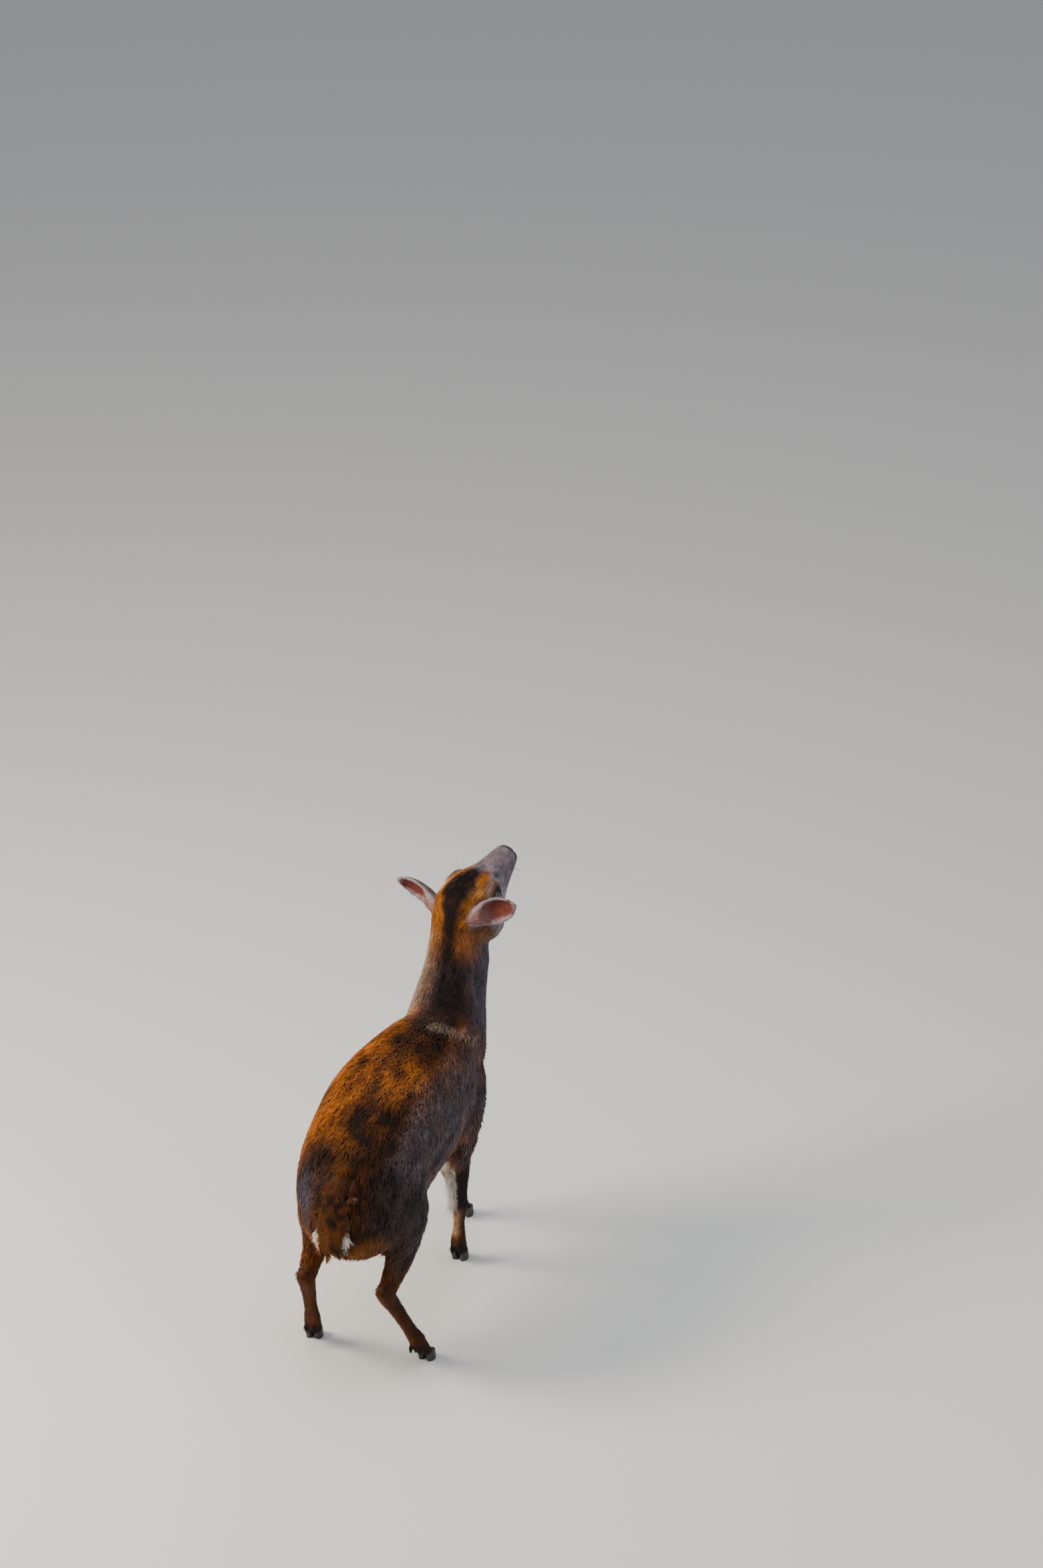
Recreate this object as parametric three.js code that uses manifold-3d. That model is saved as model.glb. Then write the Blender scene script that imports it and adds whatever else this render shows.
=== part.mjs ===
// A Reeves's muntjac doe, life size, walking with its neck up and its nose raised to its right.
// Millimetres, +Z up. It faces -Y, its left side is +X, and its hooves stand on the floor at z = 0.
import * as THREE from 'three';
import { mergeVertices } from 'three/addons/utils/BufferGeometryUtils.js';
import Module from 'manifold-3d';

const wasm = await Module();
wasm.setup();

const point = (x, y, z) => new THREE.Vector3(x, y, z);
const X_AXIS = point(1, 0, 0);
const Y_AXIS = point(0, 1, 0);
const Z_AXIS = point(0, 0, 1);

// Driving dimensions
const GAP = 0.3;
const HOOF_HEIGHT = 17;
const HOOF_LENGTH = 27;
const HOOF_WIDTH = 11.5;
const HEAD_YAW = 15;
const HEAD_PITCH = 28;
const NOSE_BASE = point(-35, -246, 588);
const EYE_RADIUS = 10.5;
const EYE_AT = point(-88, 33, 21);
const EAR_LENGTH = 69;
const EAR_HALF_WIDTH = 20;
const EAR_WALL = 2.2;
const EAR_ROOT = point(-136, 35, 27);
const TAIL_LINE = new THREE.CatmullRomCurve3([
  point(-1, 330, 360), point(-2, 354, 338), point(-3, 366, 312), point(-3, 369, 285), point(-3, 367, 262),
]);
const TAIL_LOCK = point(36, 6.2, 1.9);
const TAIL_TIERS = 5;
const TAIL_ACROSS = 5;
const TAIL_SEED = 71;
const FRINGE_LOCK = point(30, 6.4, 1.8);
const FRINGE_COUNT = 8;
const FRINGE_SEED = 29;
const LIP_GROOVE = 1.2;
const LIP_DEPTH = 3;
const SOCKET_GAP = GAP + 0.1;
const ABOVE_FETLOCK = point(0, 4, 6);
const CUT_BLOCK = 340;
const LEAST_VOLUME = 50;
const THIGH_CUT = 195;
const ELBOW_CUT = 210;

// Joints of the four legs, the right ones with x below zero
const LEGS = {
  hind_left: { hip: point(42, 285, 345), stifle: point(67, 190, 240), hock: point(63, 303, 162),
    fetlock: point(88, 227, 42), hoof: point(95, 204, 0), splay: 8 },
  hind_right: { hip: point(-46, 285, 345), stifle: point(-71, 191, 240), hock: point(-59, 308, 164),
    fetlock: point(-73, 226, 42), hoof: point(-78, 202, 0), splay: -4 },
  fore_left: { blade: point(34, -50, 385), shoulder: point(44, -126, 298), elbow: point(44, -92, 220),
    knee: point(30, -146, 110), fetlock: point(19, -172, 37), hoof: point(14, -188, 0), splay: 2 },
  fore_right: { blade: point(-34, -15, 385), shoulder: point(-44, -84, 298), elbow: point(-50, 0, 226),
    knee: point(-38, -32, 120), fetlock: point(-27, -54, 38), hoof: point(-24, -69, 0), splay: -3 },
};

// A closed mesh as a solid, and the largest closed surface of a solid
function solidOf(geometry) {
  const bare = geometry.clone();
  bare.deleteAttribute('normal');
  bare.deleteAttribute('uv');
  const merged = mergeVertices(bare, 1e-4);
  const mesh = { numProp: 3, vertProperties: merged.attributes.position.array,
    triVerts: new Uint32Array(merged.index.array) };
  return new wasm.Manifold(new wasm.Mesh(mesh));
}

function largest(solid) {
  const bodies = solid.decompose();
  return bodies.reduce((best, body) => (body.volume() > best.volume() ? body : best));
}

const joined = (solids) => solids.reduce((whole, solid) => whole.add(solid));

function meshOf(name, solid, material) {
  const { numProp, vertProperties, triVerts } = largest(solid).getMesh();
  const positions = new Float32Array((vertProperties.length / numProp) * 3);
  for (let i = 0; i < positions.length / 3; i += 1) {
    positions.set(vertProperties.subarray(i * numProp, i * numProp + 3), i * 3);
  }
  const geometry = new THREE.BufferGeometry();
  geometry.setAttribute('position', new THREE.BufferAttribute(positions, 3));
  geometry.setIndex(new THREE.BufferAttribute(triVerts, 1));
  geometry.computeVertexNormals();
  const mesh = new THREE.Mesh(geometry, material.clone());
  mesh.name = name;
  return mesh;
}

// A closed skin over rings of equal length, with a fan at each end
function ringsToSolid(rings) {
  const sides = rings[0].length;
  const vertices = rings.flat();
  const ends = [rings[0], rings[rings.length - 1]].map((ring) => (
    ring.reduce((sum, p) => sum.add(p), point(0, 0, 0)).divideScalar(sides)));
  const index = [];
  const first = vertices.length;
  for (let k = 0; k < sides; k += 1) {
    const next = (k + 1) % sides;
    for (let r = 0; r < rings.length - 1; r += 1) {
      const a = r * sides;
      const b = a + sides;
      index.push(a + k, a + next, b + next, a + k, b + next, b + k);
    }
    const last = (rings.length - 1) * sides;
    index.push(first, next, k, first + 1, last + k, last + next);
  }
  const geometry = new THREE.BufferGeometry().setFromPoints([...vertices, ...ends]);
  geometry.setIndex(index);
  return solidOf(geometry);
}

// Rows of [x, y, z, side, high, low], drawn smooth by distance along the rows
function smoothRows(rows, steps) {
  const distance = [0];
  for (let i = 1; i < rows.length; i += 1) {
    const step = Math.hypot(...[0, 1, 2].map((k) => rows[i][k] - rows[i - 1][k]));
    distance.push(distance[i - 1] + step);
  }
  const spline = new THREE.CubicInterpolant(distance, rows.flat(), 6, new Float32Array(6));
  const end = distance[distance.length - 1];
  return Array.from({ length: steps + 1 }, (_, i) => Array.from(spline.evaluate((end * i) / steps)));
}

// A body swept along smooth rows. The high side is lateral x travel: up on a trunk, front on a leg.
function sweep(rows, { sides, steps, lateral = X_AXIS, square = 2.2, round = [0.6, 0.6], grow = 0 }) {
  const path = smoothRows(rows, steps);
  const places = path.map((row) => point(row[0], row[1], row[2]));
  const rings = [];
  const addRing = (at, along, row, scale) => {
    const across = lateral.clone().addScaledVector(along, -lateral.dot(along)).normalize();
    const upward = new THREE.Vector3().crossVectors(along, across);
    rings.push(Array.from({ length: sides }, (_, k) => {
      const angle = (2 * Math.PI * (k + 0.5)) / sides;
      const bend = (c) => Math.sign(c) * Math.abs(c) ** (2 / square);
      const tall = (Math.sin(angle) > 0 ? row[4] : row[5]) + grow;
      return at.clone()
        .addScaledVector(across, scale * (row[3] + grow) * bend(Math.cos(angle)))
        .addScaledVector(upward, scale * tall * bend(Math.sin(angle)));
    }));
  };
  const capAngles = [70, 38].map(THREE.MathUtils.degToRad);
  const tangent = (i) => places[Math.min(i + 1, steps)].clone().sub(places[Math.max(i - 1, 0)]).normalize();
  const capDepth = (row, share) => share * Math.min(row[3], (row[4] + row[5]) / 2) + grow;
  const head = tangent(0);
  const tail = tangent(steps);
  if (round[0] > 0) {
    capAngles.forEach((a) => addRing(
      places[0].clone().addScaledVector(head, -Math.sin(a) * capDepth(path[0], round[0])),
      head, path[0], Math.cos(a)));
  }
  places.forEach((at, i) => addRing(at, tangent(i), path[i], 1));
  if (round[1] > 0) {
    [...capAngles].reverse().forEach((a) => addRing(
      places[steps].clone().addScaledVector(tail, Math.sin(a) * capDepth(path[steps], round[1])),
      tail, path[steps], Math.cos(a)));
  }
  return ringsToSolid(rings);
}

const row = (at, side, high, low) => [at.x, at.y, at.z, side, high, low];
const between = (a, b, share) => a.clone().lerp(b, share);

function ball(at, radii, turn = new THREE.Euler(), detail = [12, 8]) {
  const geometry = new THREE.SphereGeometry(1, detail[0], detail[1]);
  const turned = new THREE.Quaternion().setFromEuler(turn);
  geometry.applyMatrix4(new THREE.Matrix4().compose(at, turned, radii));
  return solidOf(geometry);
}

// A repeatable draw between -1 and 1
function drawFrom(seed) {
  let state = seed;
  return () => {
    state = (state * 16807) % 2147483647;
    return (state / 2147483647) * 2 - 1;
  };
}

// A flat lock of hair, bent towards a second direction. Size is its length, half width and half thickness.
function lock(root, along, bendTo, flat, size) {
  const places = [-0.16, 0.2, 0.55, 0.85, 1].map((share) => root.clone()
    .addScaledVector(along, size.x * share * (1 - 0.5 * Math.max(share, 0)))
    .addScaledVector(bendTo, size.x * 0.5 * share * Math.abs(share)));
  const widths = [0.85, 1, 0.95, 0.62, 0.14];
  const lateral = new THREE.Vector3().crossVectors(flat, along).normalize();
  const rows = places.map((at, i) => row(at, size.y * widths[i], size.z * widths[i], size.z * widths[i]));
  return sweep(rows, { sides: 4, steps: 3, lateral, square: 2, round: [0, 0] });
}

// A box centred at a place, its Z side turned to a direction and its X side as near as can be to lateral
function slab(at, facing, size, lateral = X_AXIS) {
  const normal = facing.clone().normalize();
  const along = new THREE.Vector3().crossVectors(normal, lateral).normalize();
  const across = new THREE.Vector3().crossVectors(along, normal);
  const geometry = new THREE.BoxGeometry(size.x, size.y, size.z);
  geometry.applyMatrix4(new THREE.Matrix4().makeBasis(across, along, normal).setPosition(at));
  return solidOf(geometry);
}

// Trunk from buttocks to breast: rows of [y, x, top, bottom, half width]
function trunk(grow = 0) {
  const stations = [
    [338, 1, 336, 230, 47],
    [318, 0, 361, 209, 68],
    [288, 0, 386, 201, 80],
    [248, 4, 405, 203, 87],
    [195, 8, 420, 212, 91],
    [140, 12, 430, 219, 92],
    [80, 11, 434, 218, 88],
    [20, 6, 435, 213, 78],
    [-35, 2, 431, 215, 68],
    [-80, -1, 416, 230, 57],
    [-108, -2, 386, 256, 45],
    [-116, -2, 352, 284, 31],
  ];
  const rows = stations.map(([y, x, top, bottom, half]) => {
    const middle = (top * 0.45 + bottom * 0.55);
    return [x, y, middle, half, top - middle, middle - bottom];
  });
  return sweep(rows, { sides: 22, steps: 17, square: 2.25, round: [0.5, 0.35], grow });
}

// Neck from inside the breast to behind the jaw: high is the nape, low the throat
function neck(grow = 0) {
  return sweep([
    [0, -40, 318, 50, 66, 88],
    [0, -60, 352, 58, 70, 88],
    [0, -82, 388, 56, 72, 70],
    [0, -99, 420, 50, 62, 58],
    [-2, -116, 458, 45, 52, 52],
    [-3, -126, 492, 43, 49, 49],
    [-3, -127, 522, 41, 46, 44],
    [-2, -124, 545, 36, 38, 38],
  ], { sides: 20, steps: 12, round: [0.3, 0.6], grow });
}

const headTurn = new THREE.Matrix4().makeBasis(
  point(0, -1, 0).applyAxisAngle(X_AXIS, -THREE.MathUtils.degToRad(HEAD_PITCH)),
  X_AXIS.clone(),
  point(0, 0, 1).applyAxisAngle(X_AXIS, -THREE.MathUtils.degToRad(HEAD_PITCH)));
const headPlace = new THREE.Matrix4()
  .makeTranslation(NOSE_BASE.x, NOSE_BASE.y, NOSE_BASE.z)
  .multiply(new THREE.Matrix4().makeRotationZ(-THREE.MathUtils.degToRad(HEAD_YAW)))
  .multiply(headTurn);
const onHead = (x, y, z) => point(x, y, z).applyMatrix4(headPlace);
const headward = (x, y, z) => point(x, y, z).transformDirection(headPlace);

function headBall(at, radii, sideways = 1, detail = [12, 7]) {
  const turned = new THREE.Euler().setFromRotationMatrix(headPlace);
  return ball(onHead(at.x, at.y * sideways, at.z), radii, turned, detail);
}

// Skull and muzzle: rows of [along from the nose, top, bottom, half width]
function skull(grow = 0) {
  const stations = [
    [-164, 40, -14, 28],
    [-150, 51, -30, 38],
    [-130, 57, -41, 43.5],
    [-108, 57, -41, 45],
    [-90, 51, -37, 43],
    [-72, 42, -32, 37.5],
    [-54, 33, -26, 29.5],
    [-34, 27, -22, 23],
    [-16, 23, -19, 18.5],
    [-5, 20, -16, 15.5],
  ];
  const left = headward(0, 1, 0);
  const rows = stations.map(([along, top, bottom, half]) => {
    const middle = (top + bottom) / 2;
    return row(onHead(along, 0, middle), half, top - middle, middle - bottom);
  });
  return sweep(rows, { sides: 20, steps: 15, lateral: left, square: 2.15, round: [0.7, 0.5], grow });
}

function headBulges(grow = 0) {
  const bulges = [];
  const size = (x, y, z) => point(x + grow, y + grow, z + grow);
  for (const side of [1, -1]) {
    bulges.push(headBall(point(-116, 26, -14), size(40, 24, 30), side));
    bulges.push(headBall(point(-94, 27, 29), size(25, 14, 14), side));
    bulges.push(headBall(point(-26, 11, 5), size(22, 9.5, 14), side));
  }
  return joined(bulges);
}

// Lids close over the eyeball but for an almond opening that faces out
function lids(side) {
  const lid = EYE_RADIUS + 2.4;
  return headBall(EYE_AT, point(lid + 1.5, lid, lid - 0.6), side);
}

function eyeOpening(side) {
  const at = EYE_AT.clone().addScaledVector(point(0.24, 0.93, 0.2), EYE_RADIUS);
  return headBall(at, point(9.6, 7, 6.2), side);
}

function eyeball(side, grow = 0) {
  const radius = EYE_RADIUS + grow;
  return headBall(EYE_AT, point(radius, radius, radius), side, [12, 9]);
}

// The scent gland: a slit between the eye and the mouth
const glandSlit = (side) => headBall(point(-63, 30, 9), point(9, 5, 1.7), side, [8, 6]);

function noseRegion(grow = 0) {
  return headBall(point(1, 0, 11), point(9 + grow, 13.5 + grow, 9.5 + grow));
}

function nostril(side) {
  return joined([
    headBall(point(5, 6.5, 11), point(8, 2.4, 2), side, [8, 6]),
    headBall(point(2, 10.5, 8.5), point(8, 2, 1.4), side, [8, 6]),
  ]);
}

const JAW_BLOCK = 40;
const JAW_DOWN = headward(-0.1, 0, -1).normalize();
const MOUTH_AT = onHead(-14, 0, -7);

// The part of the head below the line of the mouth, back to its corner
function jawRegion(grow = 0) {
  const at = MOUTH_AT.clone().addScaledVector(JAW_DOWN, JAW_BLOCK / 2);
  const size = point(2 * JAW_BLOCK, 2 * JAW_BLOCK, JAW_BLOCK).addScalar(2 * grow);
  return slab(at, JAW_DOWN, size, headward(0, 1, 0));
}

function mouthGroove() {
  const line = slab(MOUTH_AT, JAW_DOWN, point(2 * JAW_BLOCK, 2 * JAW_BLOCK, LIP_GROOVE), headward(0, 1, 0));
  return line.subtract(skull(-LIP_DEPTH));
}

// Hind leg from hip to fetlock: high is the front
function hindLeg({ hip, stifle, hock, fetlock, hoof }, grow = 0) {
  const bend = new THREE.QuadraticBezierCurve3(hip, stifle, hock);
  const sizes = [
    [0, 24, 44, 34],
    [0.25, 33, 60, 64],
    [0.5, 28, 54, 66],
    [0.72, 20, 31, 42],
    [0.88, 14, 17, 24],
    [1, 12, 14, 17],
  ];
  const drumstick = sizes.map(([t, side, front, back]) => row(bend.getPoint(t), side, front, back));
  const cannon = [
    row(hock.clone().add(point(0, 20, 17)), 8, 8, 8),
    row(hock.clone().add(point(0, 5, 1)), 11.5, 15, 12),
    row(between(hock, fetlock, 0.25), 10, 11, 12),
    row(between(hock, fetlock, 0.6), 9, 9.5, 10),
    row(between(hock, fetlock, 0.88), 10, 10, 10.5),
    row(fetlock, 11.5, 11.5, 12),
  ];
  return joined([
    sweep(drumstick, { sides: 16, steps: 11, round: [0.8, 0.5], grow }),
    sweep(cannon, { sides: 12, steps: 9, round: [0.6, 0.6], grow }),
    toes(fetlock, hoof),
  ]);
}

// Foreleg from shoulder blade to fetlock: high is the front
function foreleg({ blade, shoulder, elbow, knee, fetlock, hoof }, grow = 0) {
  const upper = [
    row(blade, 20, 30, 32),
    row(between(blade, shoulder, 0.6), 23, 34, 40),
    row(between(shoulder, elbow, 0.35).add(point(0, 6, 4)), 23, 32, 36),
    row(elbow.clone().add(point(0, -6, 2)), 19, 26, 24),
  ];
  const lower = [
    row(elbow.clone().add(point(0, -4, 22)), 18, 28, 26),
    row(elbow, 17, 23, 22),
    row(between(elbow, knee, 0.45), 14, 16, 17),
    row(between(elbow, knee, 0.85), 11, 12, 12.5),
    row(knee, 12, 12.5, 12),
    row(between(knee, fetlock, 0.25), 9.5, 10, 10.5),
    row(between(knee, fetlock, 0.7), 8.5, 9, 9.5),
    row(fetlock, 11, 11, 11.5),
  ];
  return joined([
    sweep(upper, { sides: 14, steps: 8, round: [0.9, 0.6], grow }),
    sweep(lower, { sides: 12, steps: 13, round: [0.6, 0.6], grow }),
    toes(fetlock, hoof),
  ]);
}

const TOE_SHIFT = HOOF_WIDTH / 2 + 0.9;

// Two pasterns and the two dewclaws behind them
function toes(fetlock, hoof) {
  const pieces = [];
  for (const side of [1, -1]) {
    const shift = point(side * TOE_SHIFT, 0, 0);
    pieces.push(sweep([
      row(fetlock.clone().addScaledVector(shift, 0.5), 8, 9, 9),
      row(between(fetlock, hoof, 0.35).addScaledVector(shift, 0.85), 6.5, 8, 8),
      row(between(fetlock, hoof, 0.72).add(shift).add(point(0, 1.5, 0)), 6, 8.5, 9),
    ], { sides: 8, steps: 2, round: [0, 0] }));
    const claw = fetlock.clone().add(point(side * 6.5, 9, -9));
    pieces.push(ball(claw, point(3.6, 4, 7.5), new THREE.Euler(0.35, 0, 0), [6, 4]));
  }
  return joined(pieces);
}

// One half of a cloven hoof, flat below, its toe drawn forward
function hoofClaw({ hoof, splay }, side) {
  const turned = THREE.MathUtils.degToRad(splay);
  const lateral = X_AXIS.clone().applyAxisAngle(Z_AXIS, turned);
  const at = (height) => hoof.clone().addScaledVector(lateral, side * TOE_SHIFT).setZ(height);
  const half = HOOF_WIDTH / 2;
  return sweep([
    row(at(HOOF_HEIGHT), half - 0.3, 0.26 * HOOF_LENGTH, 0.28 * HOOF_LENGTH),
    row(at(HOOF_HEIGHT * 0.5), half, 0.42 * HOOF_LENGTH, 0.33 * HOOF_LENGTH),
    row(at(0), half + 0.2, 0.6 * HOOF_LENGTH, 0.36 * HOOF_LENGTH),
  ], { sides: 12, steps: 2, lateral, square: 1.8, round: [0, 0] });
}

// Ear: a leaf-shaped shell with its cup cut out, its high side the back of the ear
function ear(side, tip, back) {
  const root = onHead(EAR_ROOT.x, side * EAR_ROOT.y, EAR_ROOT.z);
  const reach = tip.clone().sub(root).normalize();
  back.addScaledVector(reach, -back.dot(reach)).normalize();
  const lateral = new THREE.Vector3().crossVectors(back, reach).normalize();
  const at = (share, lift = 0) => root.clone()
    .addScaledVector(reach, share * EAR_LENGTH)
    .addScaledVector(back, lift);
  const w = EAR_HALF_WIDTH;
  const outer = sweep([
    row(at(-0.12), 13, 12, 12),
    row(at(0.08), 15, 12, 11),
    row(at(0.26, 1), 0.94 * w, 12, 5),
    row(at(0.5, 2), w, 11, 3),
    row(at(0.74, 1.5), 0.84 * w, 8, 2),
    row(at(0.92, 0), 0.46 * w, 4, 1.6),
    row(at(0.98, -0.5), 0.2 * w, 2.4, 1.4),
  ], { sides: 14, steps: 9, lateral, square: 2, round: [0.3, 0.5] });
  const cup = sweep([
    row(at(0.16, -3), 6, 6, 12),
    row(at(0.28, 0), 0.94 * w - EAR_WALL - 1, 12 - EAR_WALL, 16),
    row(at(0.5, 1.4), w - EAR_WALL, 10.6 - EAR_WALL, 16),
    row(at(0.74, 1), 0.84 * w - EAR_WALL, 8 - EAR_WALL, 14),
    row(at(0.9, 0), 0.5 * w - EAR_WALL, 4.2 - EAR_WALL, 12),
  ], { sides: 10, steps: 6, lateral, square: 2, round: [0.5, 0.3] });
  return outer.subtract(cup);
}

// Tail core: the flat tail that its locks grow from, along its line down the rump
function tailCore() {
  const sizes = [
    [0, 14, 12, 11],
    [0.25, 16, 9, 9],
    [0.55, 17, 7, 7],
    [0.8, 15, 6, 6],
    [1, 8, 4, 4],
  ];
  const rows = sizes.map(([share, side, under, over]) => row(TAIL_LINE.getPoint(share), side, under, over));
  return sweep(rows, { sides: 10, steps: 6, round: [0.6, 0.8] });
}

// Tiers of locks down the tail, the outer ones fanned to its edges
function tailLocks() {
  const draw = drawFrom(TAIL_SEED);
  const locks = [];
  for (let tier = 0; tier < TAIL_TIERS; tier += 1) {
    const share = THREE.MathUtils.lerp(0.04, 0.8, tier / (TAIL_TIERS - 1));
    const down = TAIL_LINE.getTangent(Math.min(share + 0.15, 1));
    for (let k = 0; k < TAIL_ACROSS; k += 1) {
      const across = (2 * k) / (TAIL_ACROSS - 1) - 1 + 0.16 * draw();
      const over = point(11 * across, 6 * (1 - across * across), 3 * draw());
      const along = down.clone().add(point(0.7 * across, 0.22 + 0.06 * draw(), 0)).normalize();
      const size = TAIL_LOCK.clone();
      size.x *= 1 + 0.14 * draw();
      locks.push(lock(TAIL_LINE.getPoint(share).add(over), along, down, Y_AXIS, size));
    }
  }
  return locks;
}

// The fringe behind a forearm: locks in a line down its inner rear edge
function fringeLocks({ elbow, knee }) {
  const draw = drawFrom(FRINGE_SEED);
  const inward = -Math.sign(elbow.x);
  const flat = point(1, -0.3 * inward, 0);
  const along = point(0.34 * inward, 0.5, -0.8).normalize();
  const down = point(0, 0.06, -1).normalize();
  return Array.from({ length: FRINGE_COUNT }, (_, k) => {
    const share = THREE.MathUtils.lerp(0.26, 0.84, k / (FRINGE_COUNT - 1));
    const reach = THREE.MathUtils.lerp(13, 8.5, share);
    const root = between(elbow, knee, share).add(point(0.6 * reach * inward, 0.8 * reach, 2 * draw()));
    const size = FRINGE_LOCK.clone();
    size.x *= 1 + 0.12 * draw();
    return lock(root, along, down, flat, size);
  });
}

const coat = new THREE.MeshStandardMaterial({ color: 0x8a5a30, roughness: 0.9, metalness: 0 });
const darkCoat = new THREE.MeshStandardMaterial({ color: 0x4a3626, roughness: 0.9, metalness: 0 });
const horn = new THREE.MeshStandardMaterial({ color: 0x1d1917, roughness: 0.5, metalness: 0 });
const eyeBall = new THREE.MeshStandardMaterial({ color: 0x0d0806, roughness: 0.08, metalness: 0 });
const nosePad = new THREE.MeshStandardMaterial({ color: 0x16120f, roughness: 0.35, metalness: 0 });

const doe = new THREE.Group();
const add = (name, solid, material = coat) => doe.add(meshOf(name, solid, material));

// A limb's own share of the body: an egg over its top joint, and all of the limb below its first cut
const REGIONS = {
  hind_left: { at: point(94, 256, 238), radii: point(62, 90, 118), cut: THIGH_CUT },
  hind_right: { at: point(-94, 256, 238), radii: point(62, 90, 118), cut: THIGH_CUT },
  fore_left: { at: point(88, -106, 238), radii: point(66, 90, 98), cut: ELBOW_CUT },
  fore_right: { at: point(-90, -42, 238), radii: point(66, 86, 98), cut: ELBOW_CUT },
};

function regionOf(name, grow = 0) {
  const { at, radii, cut } = REGIONS[name];
  const egg = ball(at, radii.clone().addScalar(grow), new THREE.Euler(), [18, 11]);
  const low = point(at.x * 0.2, at.y, (cut + grow) / 2);
  return egg.add(slab(low, Z_AXIS, point(CUT_BLOCK, CUT_BLOCK, cut + grow)));
}

const legMakers = { hind_left: hindLeg, hind_right: hindLeg, fore_left: foreleg, fore_right: foreleg };

// Across a limb: a thin cut at a joint
function jointCut(at, facing, reach) {
  return slab(at, facing, point(reach, reach, GAP));
}

function hindCuts({ hip, stifle, hock, fetlock }) {
  const top = new THREE.QuadraticBezierCurve3(hip, stifle, hock).getPoint(0.75).setZ(THIGH_CUT);
  return [
    jointCut(top, Z_AXIS, 150),
    jointCut(hock.clone().add(point(0, 0, -4)), point(0, 0.1, 1), 70),
    jointCut(fetlock.clone().add(ABOVE_FETLOCK), hock.clone().sub(fetlock), 44),
  ];
}

function foreCuts({ elbow, knee, fetlock }) {
  const top = between(elbow, knee, (elbow.z - ELBOW_CUT) / (elbow.z - knee.z));
  return [
    jointCut(top, Z_AXIS, 120),
    jointCut(knee, elbow.clone().sub(knee), 50),
    jointCut(fetlock.clone().add(ABOVE_FETLOCK), knee.clone().sub(fetlock), 44),
  ];
}

const legCuts = (leg) => (leg.hip ? hindCuts(leg) : foreCuts(leg));

const HIND_PARTS = ['thigh', 'shank', 'cannon', 'pastern'];
const FORE_PARTS = ['upper_arm', 'forearm', 'cannon', 'pastern'];

// Where the trunk ends and the neck begins, and the neck ends and the head begins
const NECK_CUT = { at: point(0, -105, 385), facing: point(0, -0.55, 0.83) };
const HEAD_CUT = { at: point(-4, -116, 517), facing: point(0, -0.57, 0.82) };

// All of the body beyond a cut
function beyond({ at, facing }, grow = 0) {
  const middle = at.clone().addScaledVector(facing.clone().normalize(), CUT_BLOCK / 2);
  return slab(middle, facing, point(CUT_BLOCK, CUT_BLOCK, CUT_BLOCK + 2 * grow));
}

const body = trunk();
const fore = body.add(neck());
const limbs = Object.entries(LEGS).map(([name, leg]) => legMakers[name](leg));

function torso() {
  const regions = Object.keys(LEGS).map((name) => regionOf(name, GAP));
  return joined([fore, ...limbs]).subtract(joined(regions)).subtract(beyond(NECK_CUT, GAP));
}

function wholeHead() {
  const openings = [1, -1].flatMap((side) => [eyeball(side, SOCKET_GAP), eyeOpening(side), glandSlit(side)]);
  const face = joined([skull(), headBulges(), lids(1), lids(-1)]).subtract(joined(openings));
  return face.add(neck()).intersect(beyond(HEAD_CUT));
}

// The parts of one leg from the top down, parted at its joints
function legParts(name, leg, limb) {
  let flesh = limb.add(body).intersect(regionOf(name)).trimByPlane([0, 0, 1], HOOF_HEIGHT + GAP);
  flesh = flesh.subtract(joined(legCuts(leg)));
  const top = (solid) => solid.boundingBox().max[2];
  const bodies = flesh.decompose().filter((solid) => solid.volume() > LEAST_VOLUME);
  return bodies.sort((a, b) => top(b) - top(a));
}

add('torso', torso());
add('neck', fore.intersect(beyond(NECK_CUT)).subtract(beyond(HEAD_CUT, GAP)));

const head = wholeHead();
const nostrils = nostril(1).add(nostril(-1));
add('head', head.subtract(jawRegion(GAP)).subtract(noseRegion(GAP)).subtract(mouthGroove()));
add('lower_jaw', head.intersect(jawRegion()).subtract(mouthGroove()));
add('nose_pad', head.intersect(noseRegion()).subtract(nostrils).subtract(jawRegion(GAP)), nosePad);
add('eye_left', eyeball(1), eyeBall);
add('eye_right', eyeball(-1), eyeBall);

Object.entries(LEGS).forEach(([name, leg], i) => {
  const names = leg.hip ? HIND_PARTS : FORE_PARTS;
  legParts(name, leg, limbs[i]).slice(0, names.length).forEach((solid, k) => {
    const hairs = names[k] === 'forearm' ? fringeLocks(leg) : [];
    add(`${name}_${names[k]}`, joined([solid, ...hairs]));
  });
  const outer = Math.sign(leg.hoof.x);
  add(`${name}_hoof_outer`, hoofClaw(leg, outer), horn);
  add(`${name}_hoof_inner`, hoofClaw(leg, -outer), horn);
});

const headGrown = joined([skull(GAP), headBulges(GAP), neck(GAP)]);
add('ear_left', ear(1, point(97, -141, 571), headward(0.85, 0, -0.05)).subtract(headGrown));
add('ear_right', ear(-1, point(-101, -108, 582), headward(0.75, 0, -0.25)).subtract(headGrown));

const rumpGrown = joined([trunk(GAP), hindLeg(LEGS.hind_left, GAP), hindLeg(LEGS.hind_right, GAP)]);
add('tail', joined([tailCore(), ...tailLocks()]).subtract(rumpGrown), darkCoat);

// The origin is the middle of the footprint
const bounds = new THREE.Box3().setFromObject(doe);
const middle = bounds.getCenter(point(0, 0, 0));
doe.position.set(-middle.x, -middle.y, -bounds.min.z);

export default doe;
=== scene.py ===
"""A muntjac doe, life size and still: skin, coat, ears, eyes, nose, hooves and tail, on a pale floor."""
import math
from functools import cache

import bmesh
import bpy
import numpy as np
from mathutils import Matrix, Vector
from mathutils.bvhtree import BVHTree


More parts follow.
